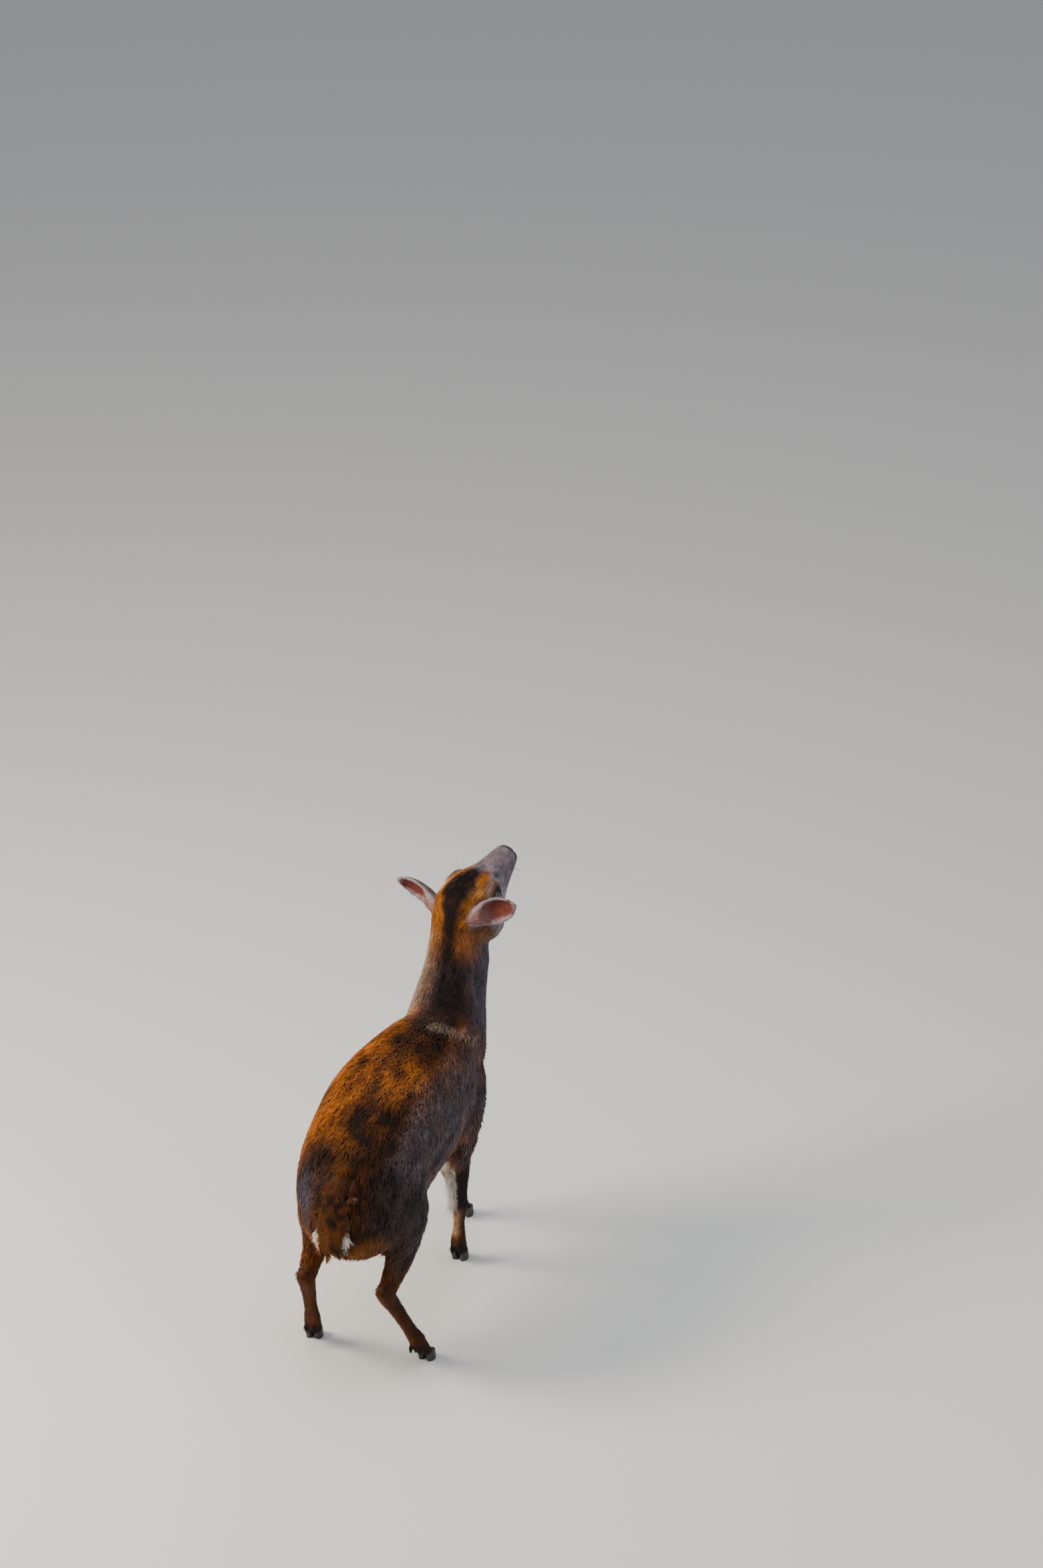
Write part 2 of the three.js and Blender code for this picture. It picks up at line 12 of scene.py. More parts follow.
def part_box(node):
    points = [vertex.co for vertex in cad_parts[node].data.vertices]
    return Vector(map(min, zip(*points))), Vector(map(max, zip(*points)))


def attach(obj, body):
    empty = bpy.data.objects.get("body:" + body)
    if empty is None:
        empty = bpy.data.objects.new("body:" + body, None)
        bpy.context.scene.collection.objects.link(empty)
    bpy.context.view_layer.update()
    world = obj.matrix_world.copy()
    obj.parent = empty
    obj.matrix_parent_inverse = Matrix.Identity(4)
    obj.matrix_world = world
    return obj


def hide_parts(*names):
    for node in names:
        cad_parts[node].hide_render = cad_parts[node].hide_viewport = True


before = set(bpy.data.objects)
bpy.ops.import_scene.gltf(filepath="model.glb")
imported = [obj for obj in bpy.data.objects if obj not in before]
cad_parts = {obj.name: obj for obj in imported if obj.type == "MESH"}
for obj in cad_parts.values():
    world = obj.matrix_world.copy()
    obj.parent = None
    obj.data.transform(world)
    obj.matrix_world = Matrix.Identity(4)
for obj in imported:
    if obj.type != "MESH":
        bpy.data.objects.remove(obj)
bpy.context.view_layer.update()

MM = 0.001
SEED = 20
SCATTER = np.array([73856093, 19349663, 83492791])

# The doe's own measures, in millimetres, as its solids have them
SIDES = {"left": 1, "right": -1}
HEAD_YAW = 15
HEAD_PITCH = 28
NOSE_BASE = np.array([-35.0, -246.0, 588.0])
EYE_AT = (-88, 33, 21)
EYE_RADIUS = 10.5
EYE_OPENING = np.array([-85.5, 35.0, 23.0])
LID_RADII = np.array([13.2, 14, 9.6])
EAR_ROOT = (-136, 35, 27)
EAR_TIPS = {"left": (97, -141, 571), "right": (-101, -108, 582)}
EAR_BACKS = {"left": (0.85, 0, -0.05), "right": (0.75, 0, -0.25)}
EAR_LENGTH = 69
EAR_HALF_WIDTH = 20
FORELEGS = {"left": ((44, -92, 220), (30, -146, 110)), "right": ((-50, 0, 226), (-38, -32, 120))}
FOREARM_SHARES = (0.15, 0.45, 0.85, 1.1)
FOREARM_REACH = (22.0, 17.4, 12.8, 12.8)
FETLOCKS = [(88, 227, 42), (-73, 226, 42), (19, -172, 37), (-27, -54, 38)]
DEWCLAWS = [(x + aside, y + 9, z - 10) for x, y, z in FETLOCKS for aside in (-6.5, 6.5)]
NECK_CUT = ((0, -105, 385), (0, -0.55, 0.83))
HEAD_CUT = ((-4, -116, 517), (0, -0.57, 0.82))
FOLD_LINE = [(-10, 6, 434), (-24, -4, 427), (-38, -17, 416), (-48, -34, 403), (-54, -52, 388),
             (-56, -68, 374)]

# The skin: how fine its pieces are and how it is smoothed. A crease is a middle, a radius and some turns.
SKIN_VOXEL = 0.0012
TAIL_VOXEL = 0.0015
TAIL_INSET = 0.0018
HOOF_VOXEL = 0.0007
NOSE_VOXEL = 0.0005
SEAM_CLOSING = 0.0004
SKIN_TRIANGLES = 190000
SMOOTHING_TURNS = 70
EAR_SAVING_TURNS = 8
SEAM_TURNS = 3
BODY_PULL = 0.62
BUDGET_LEVELS = 10
BORDER_TURNS = 14
CREASES = [((-2, -48, 428), 74, 160), ((-3, -88, 546), 34, 40), ((60, 316, 212), 40, 90),
           ((-56, 318, 212), 40, 90), ((-46, -40, 400), 46, 90), ((44, -80, 395), 50, 90)]

# How far the skin lies under the tips of each part of the coat, in millimetres
DEPTHS = {"trunk": 5.0, "neck": 4.6, "head": 1.7, "ear_left": 0.2, "ear_right": 0.2,
          "hind_limb": 1.6, "fore_limb": 1.6}
GROUPS = tuple(DEPTHS)

# The tufts: seven corners each, their roots sunk in the skin. Soft turn is how far their shading follows
# their own sides, and the bake patch is the room that each has in the OFBake map.
PIECE_TRIANGLES = 190000
TUFT_TRIANGLES = 10
TUFT_FACES = ((0, 2, 1), (0, 1, 4, 3), (1, 2, 5, 4), (2, 0, 3, 5), (3, 4, 6), (4, 5, 6), (5, 3, 6))
ROOT_DEPTH = 0.0006
SOFT_TURN = 0.55
BAKE_PATCH = 0.003
# Each tuft's colour is multiplied by these at its root, middle and tip: painted shade at the root and
# middle, where tufts shade one another, and lighter at the tip
ROOT_PAINTED_SHADE = 0.64
MIDDLE_PAINTED_SHADE = 0.95
TIP_TONE = 1.22

# The camera, where it stands by the doe and how it looks
CAMERA_AT = (-2.553, 6.424, 4.25)
CAMERA_YAW = -69.46
CAMERA_PITCH = -26.483
FOCAL_LENGTH = 126.83
SENSOR_LONG_SIDE = 36.0


def head_axes():
    """The head's forward, left and up directions."""
    yaw = math.radians(-HEAD_YAW)
    pitch = math.radians(HEAD_PITCH)
    forward = np.array([0.0, -math.cos(pitch), math.sin(pitch)])
    up = np.array([0.0, math.sin(pitch), math.cos(pitch)])
    turn = np.array([[math.cos(yaw), -math.sin(yaw), 0], [math.sin(yaw), math.cos(yaw), 0], [0, 0, 1]])
    return turn @ forward, turn @ np.array([1.0, 0, 0]), turn @ up


HEAD_FORWARD, HEAD_LEFT, HEAD_UP = head_axes()


def headward(x, y, z):
    """A direction given forward, left and up from the head."""
    way = x * HEAD_FORWARD + y * HEAD_LEFT + z * HEAD_UP
    return way / np.linalg.norm(way)


def on_head(x, y, z):
    """A place on the head in the doe's millimetres."""
    return NOSE_BASE + x * HEAD_FORWARD + y * HEAD_LEFT + z * HEAD_UP


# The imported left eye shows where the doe's own measures start
EYE_LOW, EYE_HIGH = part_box("eye_left")
ORIGIN = np.array((EYE_LOW + EYE_HIGH) / 2) - on_head(*EYE_AT) * MM


def in_frame(places):
    """Places in the doe's millimetres, turned to the frame's metres."""
    return np.asarray(places, float) * MM + ORIGIN


def in_doe(places):
    """Places in the frame's metres, turned to the doe's millimetres."""
    return (np.asarray(places, float) - ORIGIN) / MM


def unit(vectors):
    """Vectors brought to length one."""
    return vectors / np.maximum(np.linalg.norm(vectors, axis=-1, keepdims=True), 1e-9)


def ramp(low, high, values):
    """A smooth rise from 0 at low to 1 at high."""
    t = np.clip((values - low) / (high - low), 0, 1)
    return t * t * (3 - 2 * t)


def spot(places, middle, radii):
    """A soft round spot: 1 at its middle, fading over its radii."""
    away = (places - np.asarray(middle, float)) / np.asarray(radii, float)
    return np.exp(-np.sum(away ** 2, axis=1))


def mottle(places, size, seed):
    """Smooth random values between -1 and 1, that change over a distance of size."""
    rng = np.random.default_rng(seed)
    table = rng.uniform(-1, 1, 4096)
    scaled = places / size
    cell = np.floor(scaled).astype(np.int64)
    share = scaled - cell
    share = share * share * (3 - 2 * share)
    total = np.zeros(len(places))
    for corner in np.ndindex(2, 2, 2):
        at = cell + corner
        index = np.bitwise_xor.reduce(at * SCATTER, axis=1) % len(table)
        weight = np.prod(np.where(corner, share, 1 - share), axis=1)
        total += weight * table[index]
    return total


def linear(red, green, blue):
    """A display colour of 0 to 255 as the linear values that a shader takes."""
    shown = np.array([red, green, blue]) / 255
    return np.where(shown <= 0.04045, shown / 12.92, ((shown + 0.055) / 1.055) ** 2.4)


def band(values, middle, width):
    """1 at a middle value, fading over a width to both sides."""
    return np.exp(-((values - middle) / width) ** 2)


def select_only(piece):
    """Makes a piece the only selected and active one."""
    bpy.ops.object.select_all(action="DESELECT")
    bpy.context.view_layer.objects.active = piece
    piece.select_set(True)


def new_piece(name, mesh, material):
    """A piece of the doe from a mesh that is in its place."""
    piece = bpy.data.objects.new(name, mesh)
    bpy.context.scene.collection.objects.link(piece)
    dress(piece, material)
    return piece


def dress(piece, material):
    """Gives a piece its material and its slot, and fixes it to the doe."""
    piece.data.materials.append(material)
    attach(piece, "root")


def apply_modifier(piece, kind, **settings):
    """Adds a modifier with its settings and applies it."""
    modifier = piece.modifiers.new(kind.title(), kind)
    for name, value in settings.items():
        setattr(modifier, name, value)
    select_only(piece)
    bpy.ops.object.modifier_apply(modifier=modifier.name)


def remade(name, nodes, material, voxel, grow=0):
    """A piece made of several nodes, joined as one fine mesh."""
    piece = new_piece(name, joined_mesh(name, nodes, grow), material)
    apply_modifier(piece, "REMESH", mode="VOXEL", voxel_size=voxel, adaptivity=0)
    return piece


def read(items, field, width, kind=np.float32):
    """One field of every item in a mesh's list, as rows of a width."""
    values = np.empty(len(items) * width, kind)
    items.foreach_get(field, values)
    return values.reshape(-1, width)


def points_of(mesh):
    """The mesh's vertex places as an array."""
    return read(mesh.vertices, "co", 3).astype(float)


def put_points(mesh, places):
    """Writes an array of places back to the mesh."""
    mesh.vertices.foreach_set("co", places.astype(np.float32).ravel())
    mesh.update()


def normals_of(mesh):
    """The mesh's vertex normals as an array."""
    return read(mesh.vertex_normals, "vector", 3).astype(float)


def edges_of(mesh):
    """The two vertices of each of the mesh's edges."""
    return read(mesh.edges, "vertices", 2, np.int32)


class Neighbours:
    """The edges between a number of vertices, for averaging a value over each vertex's neighbours."""

    def __init__(self, edges, count):
        self.count = count
        self.ends = np.concatenate([edges[:, 0], edges[:, 1]])
        self.others = np.concatenate([edges[:, 1], edges[:, 0]])
        self.degree = np.maximum(np.bincount(self.ends, minlength=self.count), 1)

    def average(self, values):
        """The mean over each vertex's neighbours, column by column."""
        columns = [np.bincount(self.ends, values[self.others, k], minlength=self.count)
                   for k in range(values.shape[1])]
        return np.stack(columns, 1) / self.degree[:, None]

    def relaxed(self, values, pull, turns=1):
        """Values drawn towards the mean of their neighbours, turn after turn."""
        for _ in range(turns):
            values = values + pull * (self.average(values) - values)
        return values


def neighbours_of(mesh):
    """The neighbours over a whole mesh."""
    return Neighbours(edges_of(mesh), len(mesh.vertices))


# Skin

def group_of(node):
    """The part of the coat that a flesh node belongs to."""
    if node in ("neck", "ear_left", "ear_right"):
        return node
    if node in ("head", "lower_jaw"):
        return "head"
    if node == "torso" or node.endswith(("thigh", "upper_arm")):
        return "trunk"
    return "hind_limb" if node.startswith("hind") else "fore_limb"


FLESH = [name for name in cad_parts
         if not name.startswith("eye") and "hoof" not in name and name not in ("tail", "nose_pad")]


def merged_copy(node, grow=0.0):
    """A bmesh of a node with its doubles merged, moved outwards a little."""
    copy = bmesh.new()
    copy.from_mesh(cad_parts[node].data)
    bmesh.ops.remove_doubles(copy, verts=copy.verts, dist=1e-6)
    copy.normal_update()
    for vertex in copy.verts:
        vertex.co += vertex.normal * grow
    return copy


def draw_in_fringe(part, side):
    """Draws the coarse locks behind a forearm in to its round core."""
    elbow, knee = (np.array(end, float) for end in FORELEGS[side])
    bone = knee - elbow
    for vertex in part.verts:
        place = in_doe(vertex.co)
        share = (place - elbow) @ bone / (bone @ bone)
        middle = elbow + share * bone
        reach = np.interp(share, FOREARM_SHARES, FOREARM_REACH)
        away = np.linalg.norm(place - middle)
        if share > FOREARM_SHARES[0] and away > reach:
            vertex.co = in_frame(middle + (place - middle) * reach / away)


def joined_mesh(name, nodes, grow):
    """One mesh of several nodes."""
    whole = bmesh.new()
    for node in nodes:
        part = merged_copy(node, grow)
        if node.endswith("forearm"):
            draw_in_fringe(part, node.split("_")[1])
        mesh = bpy.data.meshes.new("part")
        part.to_mesh(mesh)
        part.free()
        whole.from_mesh(mesh)
        bpy.data.meshes.remove(mesh)
    mesh = bpy.data.meshes.new(name)
    whole.to_mesh(mesh)
    whole.free()
    return mesh


def beyond(doe, cut):
    """How far places are past a cut through the neck, in millimetres."""
    at, facing = cut
    return (doe - np.array(at, float)) @ unit(np.array(facing))


def fineness(places):
    """1 on the head, ears and feet, where the skin keeps its finest shape, and 0 on the body."""
    doe = in_doe(places)
    ear = ramp(46, 58, np.abs(doe[:, 0] + 3)) * ramp(520, 540, doe[:, 2])
    return np.maximum.reduce([ramp(3, 17, beyond(doe, HEAD_CUT)), ear, ramp(75, 60, doe[:, 2])])


def thin_parts(places):
    """1 on the ears, which must not shrink as the skin is smoothed."""
    doe = in_doe(places)
    near = np.zeros(len(doe))
    for side in SIDES:
        root, reach = ear_frame(side)[:2]
        along = (doe - root) @ reach
        off_line = np.linalg.norm(doe - root - along[:, None] * reach, axis=1)
        near = np.maximum(near, ramp(10, 22, along) * ramp(34, 28, off_line))
    return near


def smooth_skin(mesh):
    """Rounds the facets of the solids: most on the body, least on the face, ears and feet."""
    places = points_of(mesh)
    doe = in_doe(places)
    fine = fineness(places)
    limb = ramp(215, 185, doe[:, 2])
    strength = BODY_PULL * (1 - fine) * (1 - 0.55 * limb)
    ring = neighbours_of(mesh)
    for turn in range(SMOOTHING_TURNS):
        pull = strength
        if turn < EAR_SAVING_TURNS:
            pull = np.maximum(strength, 0.5 * (1 - thin_parts(places)))
        if turn < SEAM_TURNS:
            pull = np.maximum(pull, 0.4)
        places = ring.relaxed(places, pull[:, None])
    for middle, radius, turns in CREASES:
        places = smooth_crease(mesh, places, middle, radius, turns)
    put_points(mesh, places)


def smooth_crease(mesh, places, middle, radius, turns):
    """Rounds one crease between two solids a good deal more than the skin around it."""
    near = np.linalg.norm(in_doe(places) - np.array(middle, float), axis=1)
    chosen = near < radius
    edges = edges_of(mesh)
    edges = edges[chosen[edges].all(axis=1)]
    index = np.cumsum(chosen) - 1
    ring = Neighbours(index[edges], np.count_nonzero(chosen))
    pull = 0.7 * ramp(radius, 0.55 * radius, near[chosen])[:, None]
    places = places.copy()
    places[chosen] = ring.relaxed(places[chosen], pull, turns)
    return places


def thin_out(skin):
    """Brings the skin under its triangle budget, keeping the head, ears and feet fine."""
    levels = np.round((1 - fineness(points_of(skin.data))) * BUDGET_LEVELS)
    group = skin.vertex_groups.new(name="body")
    for level in range(BUDGET_LEVELS + 1):
        chosen = np.nonzero(levels == level)[0]
        group.add(chosen.tolist(), max(level / BUDGET_LEVELS, 0.01), "REPLACE")
    triangles = sum(len(face.vertices) - 2 for face in skin.data.polygons)
    apply_modifier(skin, "DECIMATE", ratio=SKIN_TRIANGLES / triangles, vertex_group="body")
    apply_modifier(skin, "TRIANGULATE")
    skin.vertex_groups.clear()


def group_weights(mesh):
    """How much each vertex belongs to each part of the coat, smooth across their borders."""
    places, faces, owners = [], [], []
    for node in FLESH:
        part = merged_copy(node)
        start = len(places)
        part.verts.index_update()
        places += [v.co.copy() for v in part.verts]
        for face in part.faces:
            faces.append([start + v.index for v in face.verts])
            owners.append(GROUPS.index(group_of(node)))
        part.free()
    tree = BVHTree.FromPolygons(places, faces)
    weights = np.zeros((len(mesh.vertices), len(GROUPS)))
    for i, vertex in enumerate(mesh.vertices):
        weights[i, owners[tree.find_nearest(vertex.co)[2]]] = 1
    ring = neighbours_of(mesh)
    for _ in range(BORDER_TURNS):
        weights = 0.5 * weights + 0.5 * ring.average(weights)
    doe = in_doe(points_of(mesh))
    middle_part = weights[:, :3].sum(axis=1)
    on_neck = ramp(-34, 22, beyond(doe, NECK_CUT))
    on_head = ramp(-12, 12, beyond(doe, HEAD_CUT))
    weights[:, 0] = middle_part * (1 - on_neck)
    weights[:, 1] = middle_part * on_neck * (1 - on_head)
    weights[:, 2] = middle_part * on_neck * on_head
    return weights


def ear_frame(side):
    """An ear's root, and the directions to its tip, out of its back and across it."""
    root = on_head(EAR_ROOT[0], SIDES[side] * EAR_ROOT[1], EAR_ROOT[2])
    reach = unit(np.array(EAR_TIPS[side]) - root)
    back = headward(*EAR_BACKS[side])
    back = unit(back - back @ reach * reach)
    return root, reach, back, np.cross(back, reach)


def eye_nearness(doe):
    """How far places are from the nearer eye's opening, 1 at the edge of its lids, and the way from it."""
    head = in_head(doe)
    head[:, 1] = np.abs(head[:, 1])
    away = head - EYE_OPENING
    return np.linalg.norm(away / LID_RADII, axis=1), away


def coat_lie(doe, normals, weights):
    """The way the hair lies at each place: back from the nose, down the flanks and limbs."""
    rump = ramp(255, 345, doe[:, 1])[:, None]
    side = (1 - np.abs(normals[:, 2]))[:, None]
    along_back = [0.0, 1.0, -0.08] + side * [0.0, 0.0, -0.42]
    trunk = (1 - rump) * along_back + rump * [0.0, 0.22, -1.0]
    round_eye, away = eye_nearness(doe)
    forward, outward, up = away.T[:, :, None]
    outward = outward * np.sign(in_head(doe)[:, [1]])
    from_eye = forward * HEAD_FORWARD + outward * HEAD_LEFT + up * HEAD_UP
    head = -HEAD_FORWARD + 1.6 * band(round_eye[:, None], 1, 0.6) * unit(from_eye)
    neck, hind_limb, fore_limb = np.array([[0.0, 0.42, -0.9], [0.0, 0.08, -1.0], [0.0, 0.12, -1.0]])
    lies = (trunk, neck, head, ear_lie(doe, "left"), ear_lie(doe, "right"), hind_limb, fore_limb)
    lie = sum(weights[:, [k]] * way for k, way in enumerate(lies))
    lie = lie - np.sum(lie * normals, 1, keepdims=True) * normals
    return unit(lie)


def ear_lie(doe, side):
    """Hair runs to the ear's tip and turns outwards at its rim."""
    root, reach, _, across_way = ear_frame(side)
    across = (doe - root) @ across_way / EAR_HALF_WIDTH
    outwards = 0.9 * np.sign(across)[:, None] * ramp(0.6, 1.0, np.abs(across))[:, None]
    return reach + outwards * across_way


def coat_depth(doe, weights):
    """How far the skin lies under the tips of the coat, in millimetres."""
    depth = weights @ np.array(list(DEPTHS.values()))
    head = in_head(doe)
    face = weights[:, 2] * ramp(-100, -40, head[:, 0])
    depth = depth - 1.1 * face - 0.9 * ramp(70, 40, doe[:, 2])
    lids = weights[:, 2] * ramp(2.1, 1.15, eye_nearness(doe)[0])
    return depth * (1 - 0.95 * lids)


def in_head(doe):
    """Places in the head's own coordinates: forward, left and up from the nose."""
    away = doe - NOSE_BASE
    return np.stack([away @ HEAD_FORWARD, away @ HEAD_LEFT, away @ HEAD_UP], 1)


# Markings

GINGER = linear(154, 86, 20)
CHESTNUT = linear(92, 53, 25)
DARK_BROWN = linear(31, 18, 11)
NAPE = linear(20, 13, 14)
GREY_BROWN = linear(80, 70, 69)
# A blue-grey: grey hair with painted cool shade in it, laid most on the doe's right side
GREY_AND_COOL_SHADE = linear(85, 82, 94)
CHEEK_GREY = linear(172, 164, 178)
PALE_GREY = linear(168, 158, 168)
BUFF = linear(188, 162, 136)
WHITE_HAIR = linear(230, 221, 209)
TAN = linear(97, 52, 15)
BLACK_BROWN = linear(30, 24, 22)
STRIPE_ORANGE = linear(164, 96, 28)
BROW_GOLD = linear(212, 148, 80)
MUZZLE = linear(114, 98, 103)
# The red of the ear's thin skin, with painted sunlight shining through it
EAR_RED_LIT_THROUGH = linear(122, 64, 54)
EAR_PINK = linear(150, 112, 106)
# A very dark maroon-brown: partly the tail's own colour, partly painted shade
MAROON_AND_SHADE = linear(30, 12, 7)
CANNON = linear(190, 143, 108)

# Half the width of the forehead's dark kite, at places from the nape to the nose
KITE = [(-160, 11), (-150, 12), (-135, 15), (-120, 20), (-105, 22), (-88, 15.5), (-68, 9), (-55, 6),
        (-46, 2)]


class Markings:
    """The colour at each place, with others laid over it one after the other."""

    def __init__(self, colours, places):
        self.colours = np.broadcast_to(colours, (len(places), 3))

    def lay(self, other, share):
        """Moves the colours towards another one by a share at each place."""
        share = np.clip(share, 0, 1)[:, None]
        self.colours = self.colours * (1 - share) + other * share

    def toned(self, change):
        """The colours made lighter or darker by a change at each place."""
        return self.colours * (1 + change)[:, None]


def near_line(places, line):
    """The distance from each place to a line through points."""
    least = np.full(len(places), np.inf)
    for start, end in zip(np.array(line[:-1], float), np.array(line[1:], float)):
        way = end - start
        share = np.clip((places - start) @ way / (way @ way), 0, 1)
        least = np.minimum(least, np.linalg.norm(places - start - share[:, None] * way, axis=1))
    return least


def trunk_colours(doe, normals):
    """Ginger above with dark patches, grey-brown flanks, a dark rump, orange below it, a pale belly.
    Painted light and shade as well: warmer ginger on the left in part, cool grey on the right flank, a
    darker right haunch, a highlight and a shadow at the fold.
    """
    x, y, z = doe.T
    broad = mottle(doe * [1, 0.7, 1], 42, SEED)
    patch = mottle(doe * [1, 0.7, 1], 22, SEED + 1)
    fleck = mottle(doe * [1, 0.45, 0.8], 9, SEED + 12)
    streak = mottle(doe * [1, 0.2, 0.6], 4.6, SEED + 2)
    coat = Markings(CHESTNUT, doe)
    # Ginger over chestnut, stronger towards the doe's left: partly the coat's own colour, partly painted
    # warm light from the left
    coat.lay(GINGER, 0.5 + 0.45 * broad + 0.4 * streak + 0.25 * fleck + 0.25 * ramp(-20, 60, x))
    # Grey-brown flanks, the right one greyer and bluer than the left: the hair's own grey with painted
    # cool shade on the doe's right side
    right = ramp(-26, -68, x + 9 * broad + 6 * patch)
    left = ramp(0.55, -0.15, normals[:, 2] + 0.2 * broad + 0.1 * fleck) * ramp(0, 30, x)
    coat.lay(GREY_BROWN, 0.9 * right + 0.72 * left)
    coat.lay(GREY_AND_COOL_SHADE, 0.5 * np.maximum(right, 0.5 * left) * ramp(-0.5, 0.6, patch + 0.5 * fleck))
    above = ramp(0.25, 0.8, normals[:, 2])
    saddle = ramp(-70, -30, x) * ramp(62, 26, x) * ramp(165, 240, y)
    dark = above * ramp(0.1, 0.7, 0.5 * patch + 0.35 * fleck + 0.2 * broad + 0.5 * saddle)
    withers = spot(doe, (-14, 62, 430), (44, 46, 50)) + 0.9 * spot(doe, (-15, -22, 436), (32, 46, 40))
    withers = ramp(0.2, 0.75, withers + 0.2 * patch)
    dark = np.maximum(0.9 * dark, withers * (0.92 + 0.4 * fleck + 0.25 * streak))
    middle_back = ramp(0.25, 0.7, spot(doe, (-20, 246, 402), (46, 56, 70)) + 0.2 * patch)
    dark = np.maximum(dark, middle_back * (0.92 + 0.45 * fleck + 0.3 * streak))
    rump = ramp(245, 300, y) * ramp(250, 285, z)
    dark = np.maximum(dark, rump * (0.8 + 0.3 * patch + 0.55 * streak))
    coat.lay(DARK_BROWN, dark)
    coat.lay(GREY_AND_COOL_SHADE, 0.6 * spot(doe, (52, 322, 325), (20, 34, 34)))
    low_rump = ramp(292, 262, z + 6 * patch) * ramp(232, 285, y)
    coat.lay(STRIPE_ORANGE * 0.36, low_rump * (0.76 + 0.5 * streak))
    # Painted shade: the right haunch darker low down
    coat.lay(GREY_BROWN * 0.6, 0.8 * ramp(-58, -74, x) * ramp(170, 225, y) * ramp(330, 300, z))
    coat.lay(GREY_BROWN, 0.8 * ramp(-52, -104, y + 14 * patch))
    belly = ramp(-0.5, -0.95, normals[:, 2] + 0.12 * fleck)
    coat.lay(BUFF, 0.72 * belly * (1 - low_rump))
    # A painted highlight along the ridge of the fold, and the painted shadow that the fold throws on the
    # shoulder
    coat.lay(BUFF, 0.75 * fold_ridge_highlight(doe, 5.5))
    coat.lay(NAPE, 0.5 * ramp(20, 5, fold_under(doe)))
    return coat.toned(0.5 * streak + 0.22 * fleck)


def fold_ridge_highlight(doe, width):
    """1 on the ridge of the fold where the neck meets the right shoulder, raised in the skin and painted
    pale there as a highlight.
    """
    return band(near_line(doe, FOLD_LINE), 0, width)


def fold_under(doe):
    """The distance to the shadow that the fold throws, on its shoulder side."""
    return near_line(doe, [(x - 5, y + 11, z - 4) for x, y, z in FOLD_LINE]) + 8


def neck_colours(doe, normals):
    """Grey-brown sides, a dark stripe down the nape, ginger behind the ears and a paler throat; painted
    cool shade on the right side and a painted highlight along the fold.
    """
    x, _, z = doe.T
    patch = mottle(doe * [1, 1, 0.7], 16, SEED + 3)
    streak = mottle(doe * [1, 0.8, 0.25], 3.8, SEED + 4)
    coat = Markings(GREY_BROWN, doe)
    coat.lay(CHESTNUT, 0.35 + 0.35 * patch)
    coat.lay(STRIPE_ORANGE, 0.6 * ramp(480, 525, z) * ramp(-0.6, 0.1, normals[:, 1]))
    coat.lay(BUFF, 0.4 * ramp(16, 36, x) * ramp(-0.5, 0.3, normals[:, 1]))
    # The right side of the neck cool grey: painted cool shade
    coat.lay(GREY_AND_COOL_SHADE, 0.7 * (ramp(-16, -38, x) * ramp(0.7, 0.0, normals[:, 1])))
    middle = np.interp(z, (430, 442, 485, 520, 550), (-16, -14, -5, -4, -8))
    half = np.interp(z, (400, 430, 485, 520, 550), (36, 28, 17, 14, 10))
    nape = ramp(half + 9, half - 9, np.abs(x - middle) + 5 * patch + 4 * streak)
    nape = nape * ramp(-0.1, 0.3, normals[:, 1])
    coat.lay(NAPE, nape * (0.95 + 0.35 * streak))
    coat.lay(BUFF, 0.5 * ramp(0.25, 0.85, -normals[:, 1]))
    # A painted highlight along the ridge of the fold
    coat.lay(BUFF, 0.85 * fold_ridge_highlight(doe, 5.0))
    return coat.toned(0.4 * streak + 0.14 * patch)


def gland_slit(head, sign):
    """1 in the slit of the scent gland before one eye."""
    return spot(head, (-64, sign * 29, 9.5), (9, 12, 1.7))


def mouth_line(head, width, back):
    """1 along the line of the mouth, from the nose to its corner."""
    along, _, up = head.T
    return band(up + 7 + 0.1 * (along + 14), 0, width) * ramp(back, -50, along)


